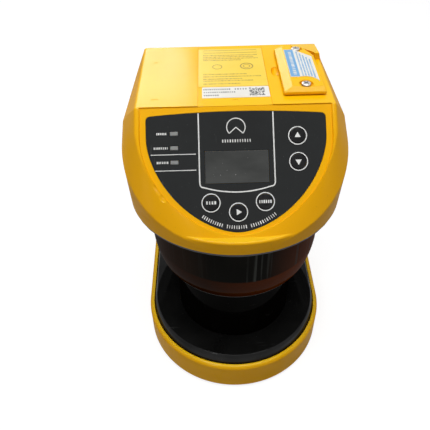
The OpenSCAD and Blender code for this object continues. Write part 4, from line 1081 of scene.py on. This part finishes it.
def run_back(profile, y1, name, steps=96):
    """A profile turned round the front and run straight back along both sides."""
    shape = bmesh.new()
    turns = [(0, math.pi + math.pi * i / steps) for i in range(steps + 1)]
    rows = [[shape.verts.new((r * math.cos(turn), y + r * math.sin(turn), z)) for r, z in profile]
            for y, turn in [(y1, math.pi), *turns, (y1, 2 * math.pi)]]
    for near, far in zip(rows, rows[1:]):
        for j in range(len(profile)):
            k = (j + 1) % len(profile)
            if profile[j][0] > 0 or profile[k][0] > 0:
                shape.faces.new((near[j], far[j], far[k], near[k]))
    shape.faces.new(rows[0])
    shape.faces.new(rows[-1])
    return closed(shape, name)


def hollow_arc(r, w, steps=40):
    """The front of the rear housing: a circle round the window between its flanks."""
    reach = math.atan2(math.sqrt(r * r - w * w), w)
    return [(r * math.cos(t), r * math.sin(t)) for t in np.linspace(math.pi - reach, reach, steps)]


# Plan of the room that the rear housing needs, run out past the rear face
room_half_w = rear_half_w + fit
rear_room = hollow_arc(window_r - window_t - fit, room_half_w)
rear_room += [(room_half_w, rear_y + 1), (-room_half_w, rear_y + 1)]
under, dish_low = dish_z - dish_sink - dish_t, dish_z - dish_sink
dish_out, bowl_r, above = rim_in_r - fit, dish_r - 0.2, dish_z + 3
dish_profile = rounded([(0.0, under), (dish_out - 4.4, under), (dish_out - 2.2, under - 3),
                        (dish_out - 2.2, deck_z), (dish_out, deck_z), (dish_out, rim_h - 1, 2),
                        (dish_r + 1.1, dish_z - 2.2, 1.6), (dish_r, dish_z, 1), (0.0, dish_z)], 0.45)
dish = run_back(dish_profile, rear_y - 3 - fit, "dish")
bowl = turned([(0, above), (bowl_r, above), (bowl_r, dish_z + 0.02), (dish_r - 1.2, dish_z - 0.28),
               (dish_r - 4.0, dish_z - 0.75), (neck_r + 4, dish_low + 0.2), (neck_r, dish_low),
               (0, dish_low)], "cut_bowl", 144)
bore = rod(0, 0, neck_r + fit, 0, dish_z + 2, "cut_bore", 144)
slot = prism(rear_room, 0, dish_z + 2, "cut_slot")
dish = smoothed(carve(dish, [bowl, bore, slot], "dish_shell"), polished, 24)
fitted(dish, "gloss_black", "dish_plate")


# Rear housing: a hollow moulding with eased corners that carries the head. Four
# chamfered mounting holes open at the back. Its grain is fine and its edges worn.
grained = Finish("grained_black", Specular_IOR_Level=0.35)
grain, patch = grained.noise(1600, 2), grained.span(grained.noise(24, 5), 0.35, 0.75)
rubs = grained.span(grained.noise(210, 4, (1, 1, 0.2)), 0.66, 0.78)
worn = grained.blend(patch, tone(0.015, 0.015, 0.0155), tone(0.022, 0.022, 0.022))
grained.coat(grained.blend(rubs * 0.25, worn, tone(0.07, 0.07, 0.068)), 0.48 + patch * 0.08 - rubs * 0.1,
             grained.bump(grain, 0.00006))
frame_low_z, rear_wall, sill_z = 127.5, 3.0, window_low_z - 6
mount_r, mount_depth, mount_x, mount_zs = 2.1, 10.0, 32.0, (48.0, head_low_z - 21.5)
post_x, post_y, post_r, pilot_r, pilot_depth = 40.0, 76.5, 4.0, 1.55, 16.0
plug_y, plug_z, plug_hole_r = 60.0, 50.0, 7.1


def rear_block(r, w, y1, corner_r, z):
    """A block behind a circle of radius r, its rear corners rounded."""
    turn = np.radians(np.linspace(0, 90, 9))
    right = [(w - corner_r + corner_r * math.cos(t), y1 - corner_r + corner_r * math.sin(t)) for t in turn]
    return with_height(hollow_arc(r, w) + right + [(-x, y) for x, y in reversed(right)], z)


edged = ((deck_z, 0.5), (deck_z + 0.5, 0.0), (frame_low_z - 0.5, 0.0), (frame_low_z, 0.5))
block = loft([rear_block(window_r - window_t, rear_half_w - g, rear_y - g, 3.0, z) for z, g in edged],
             "rear_block")
cavity = loft([rear_block(window_r + rear_wall, rear_half_w - rear_wall, rear_y - rear_wall - 1, 2.0, z)
               for z in (deck_z + rear_wall, frame_low_z + 1)], "cut_cavity")
block = carve(block, [cavity], "rear_block")
boss_r, boss_low, boss_high = mount_r + 3, 3.5, mount_depth + 2
bosses, holes = [], []
for x, z in [(side * mount_x, z) for side in (-1, 1) for z in mount_zs]:
    boss = turned([(0, boss_low), (boss_r, boss_low), (boss_r, boss_high), (0, boss_high)], "boss", 40)
    hole = turned([(0, -1), (mount_r + 0.6, -1), (mount_r + 0.6, 0), (mount_r, 0.6), (mount_r, mount_depth),
                   (0, mount_depth + 1)], "cut_mount", 40)
    for piece, group in ((boss, bosses), (hole, holes)):
        piece.data.transform(shift(x, rear_y, z) @ Matrix.Rotation(math.radians(90), 4, "X"))
        group.append(piece)
for x in (-post_x, post_x):
    bosses.append(rod(x, post_y, post_r, deck_z + 0.2, frame_low_z - 0.2, "post", 40))
    holes.append(rod(x, post_y, pilot_r, deck_z - 1, deck_z + pilot_depth, "cut_pilot", 24))
    holes.append(rod(x, post_y, pilot_r, frame_low_z - pilot_depth, frame_low_z + 1, "cut_pilot", 24))


def sector(r0, r1, z0, z1, name, steps, sweep, start):
    """Part of a square-edged ring about the axis."""
    return turned([(r0, z0), (r1, z0), (r1, z1), (r0, z1)], name, steps, sweep, start)


bosses.append(sector(window_lip_r - 1 + fit, window_r, flange_top - 4, flange_top, "shelf", 60, 116, 32))
sill = sector(30, window_r + fit, sill_z, frame_low_z + 1, "cut_sill", 96, window_sweep, window_start)
plug_hole = rod(0, 0, plug_hole_r, -1, rear_wall + 1, "cut_plug")
plug_hole.data.transform(shift(-rear_half_w, plug_y, plug_z) @ Matrix.Rotation(math.radians(90), 4, "Y"))
block = carve(joined(block, *bosses), [*holes, sill, plug_hole], "rear_shell")
fitted(smoothed(block, grained.material), "moulded_black", "rear_housing")


# Cable connector on the left flank: a nickel shell with a real helical thread, an
# orange seal, a dark insert and five gilt pins. It juts from the rear housing.
def plain(name, colour, roughness, vary=0.35, scale=90, metal=0.0, grain=0.00002):
    """An even finish that varies a little in tone and roughness."""
    made = Finish(name, Metallic=metal)
    cloud, fine = made.noise(scale, 4), made.noise(scale * 9, 2)
    dark = tone(*(c * (1 - vary) for c in colour))
    return made.coat(made.blend(made.span(cloud, 0.35, 0.7), tone(*colour), dark),
                     roughness + cloud * 0.12, made.bump(fine, grain))


plug_r, plug_len, seat_r, seat_t = 8.0, 10.0, 10.5, 2.0
nickel = Finish("nickel_shell", Metallic=1.0)
brush, dull = nickel.noise(700, 3, (0.2, 1, 1)), nickel.span(nickel.noise(150, 4), 0.5, 0.75)
nickel.coat(nickel.blend(dull, tone(0.56, 0.54, 0.50), tone(0.36, 0.34, 0.30)),
            0.24 + brush * 0.12 + dull * 0.15, nickel.bump(brush, 0.00002))
gilt = plain("gilt", (0.75, 0.50, 0.16), 0.25, 0.25, metal=1.0)
seal_orange = plain("seal_orange", (0.55, 0.12, 0.01), 0.5, 0.25)
barrel_r, barrel_in_r, barrel_top, well_z = plug_r - 0.5, plug_r - 1.5, seat_t + plug_len, plug_len - 5
shell = turned(rounded([(0, 1.0), (seat_r, 0.0), (seat_r, seat_t, 1), (barrel_r, seat_t, 0.5),
                        (barrel_r, barrel_top, 1), (barrel_in_r, barrel_top, 0.5),
                        (barrel_in_r, well_z), (0, well_z)], 0.5), "plug_shell", 72)
growth = Growth("thread", turns=7.0, radius=barrel_r * MM, rise=7.0 * MM, ridge=0.5 * MM,
                finish=nickel.material)
helix = growth.node("GeometryNodeCurveSpiral", sockets={
    "Resolution": 48, "Rotations": "turns", "Start Radius": "radius",
    "End Radius": "radius", "Height": "rise"})
ridge = growth.node("GeometryNodeCurvePrimitiveCircle", {"mode": "RADIUS"}, {
    "Resolution": 4, "Radius": "ridge"})
wound = growth.node("GeometryNodeCurveToMesh", sockets={
    "Curve": helix, "Profile Curve": ridge, "Fill Caps": True})
thread = growth.finish(wound, lines_of([row(0, 1, 0)], "plug_thread"), "plug_thread")
thread.data.transform(shift(0, 0, 4.0))
insert_r, insert_low, insert_top = plug_r - 1.6, 4.0, plug_len - 1.2
insert = turned(rounded([(0, insert_low), (insert_r, insert_low), (insert_r, insert_top, 1), (0, insert_top)],
                        0.3), "plug_insert", 60)
seal_in_r, seal_out_r, seal_top = plug_r - 0.6, plug_r + 1.0, seat_t + 1.2
collar = turned(rounded([(seal_in_r, seat_t), (seal_out_r, seat_t, 1), (seal_out_r, seal_top, 1),
                         (seal_in_r, seal_top)], 0.5), "plug_seal", 60)
pin_circle, pin_r, pin_tip_r = 3.2, 0.55, 0.25
pins = [loft([with_height(circle(pin_circle * math.cos(a), pin_circle * math.sin(a), r, 16), z)
              for z, r in ((well_z, pin_r), (plug_len + 0.6, pin_r), (plug_len + 1.1, pin_tip_r))], "pin")
        for a in np.radians(90 + 72 * np.arange(5))]
for piece, finish, nodes in ((merged([shell, thread], "plug_body"), nickel.material, ("cable_connector",)),
                             (insert, grained.material, ()), (merged(pins, "plug_pins"), gilt, ()),
                             (collar, seal_orange, ())):
    piece.data.transform(shift(-rear_half_w, plug_y, plug_z) @ Matrix.Rotation(math.radians(-90), 4, "Y"))
    fitted(smoothed(piece, finish), "connector_nickel", *nodes)


# Base tray: a cast U-shaped tray painted like the head, with a rounded rim that
# the dish drops into, closed below by a thin black plate.
tray_yellow = yellow_paint("tray_yellow", (0.99, 0.60, 0.003), (0.95, 0.55, 0.003))
bottom_t, back_t, back_top = 2.0, 3.0, rim_h - 1
rim_profile = [(rim_in_r, bottom_t), (base_r - 0.8, bottom_t), (base_r - 0.2, bottom_t + 0.25),
               (base_r, bottom_t + 0.8)]
rim_profile += [(base_r - rim_round * (1 - math.cos(t)), rim_h - rim_round * (1 - math.sin(t)))
                for t in np.linspace(0, math.pi / 2, 13)]
rim_profile += [(rim_in_r + 0.25, rim_h), (rim_in_r, rim_h - 0.25)]
rim = run_back(rim_profile, rear_y, "rim")
floor_r = rim_in_r + 1
floor_plan = [(floor_r * math.cos(t), floor_r * math.sin(t)) for t in np.linspace(math.pi, 2 * math.pi, 97)]
floor_plan += [(floor_r, rear_y), (-floor_r, rear_y)]
tray_floor = prism(floor_plan, bottom_t, deck_z, "tray_floor")
tray_back = loft(box_loops(-floor_r, floor_r, rear_y - back_t, rear_y,
                           ((bottom_t, 0.0), (back_top - 0.3, 0.0), (back_top, -0.3))), "tray_back")
behind = prism(rear_room, deck_z, rim_h + 2, "cut_behind")
tray = carve(joined(rim, tray_floor, tray_back), [behind], "tray_shell")
fitted(smoothed(tray, tray_yellow), "yellow_paint", "base_tray")


# Plain finishes for what keeps its solid shape: cast frame, seals, boards, motor
# and optics inside. Each still varies in tone and roughness over its surface.
plain_looks = {
    "cast_black": dict(colour=(0.022, 0.022, 0.023), roughness=0.5, grain=0.00006),
    "seal_rubber": dict(colour=(0.014, 0.014, 0.014), roughness=0.75),
    "circuit_board": dict(colour=(0.012, 0.11, 0.045), roughness=0.35, scale=160),
    "moulded_black": dict(colour=(0.013, 0.013, 0.014), roughness=0.42),
    "connector_nickel": dict(colour=(0.50, 0.48, 0.44), roughness=0.28, metal=1.0),
    "lens_glass": dict(colour=(0.55, 0.62, 0.66), roughness=0.05, vary=0.1),
    "laser_brass": dict(colour=(0.60, 0.42, 0.16), roughness=0.3, metal=1.0),
    "machined_aluminium": dict(colour=(0.55, 0.55, 0.56), roughness=0.32, metal=1.0),
    "rotor_steel": dict(colour=(0.30, 0.30, 0.31), roughness=0.38, metal=1.0),
    "mirror_glass": dict(colour=(0.82, 0.83, 0.85), roughness=0.04, vary=0.05, metal=1.0),
    "module_glass": dict(colour=(0.10, 0.11, 0.10), roughness=0.2),
}
finishes = {slot: plain(slot, **look) for slot, look in plain_looks.items()}
finishes["bright_steel"] = steel.material
for subpart in frame["record"]["subparts"]:
    solid, slot = frame["nodes"][subpart["node"]], subpart["material_slot"]
    if not solid.hide_render and slot in finishes:
        solid.data.materials.clear()
        solid.data.materials.append(finishes[slot])


# Pale sheet that the scanner stands on. It throws back a moderate light, and a
# glow that only camera, glossy and transmission rays see lifts it to white.
sheet = bmesh.new()
bmesh.ops.create_grid(sheet, x_segments=8, y_segments=8, size=2500)
floor = object_from(sheet, "floor")
paper = Finish("paper", Roughness=0.9, Specular_IOR_Level=0.1, Emission_Strength=1.0)
camera_ray, glossy_ray, clear_ray = (paper.node("ShaderNodeLightPath", output="Is %s Ray" % kind)
                                     for kind in ("Camera", "Glossy", "Transmission"))
glow = paper.blend(camera_ray + glossy_ray + clear_ray, tone(0, 0, 0), tone(0.84, 0.84, 0.84))
paper.coat(paper.blend(paper.noise(40, 3) * 0.2, tone(0.28, 0.28, 0.28), tone(0.26, 0.26, 0.26)),
           Emission_Color=glow)
floor.data.materials.append(paper.material)
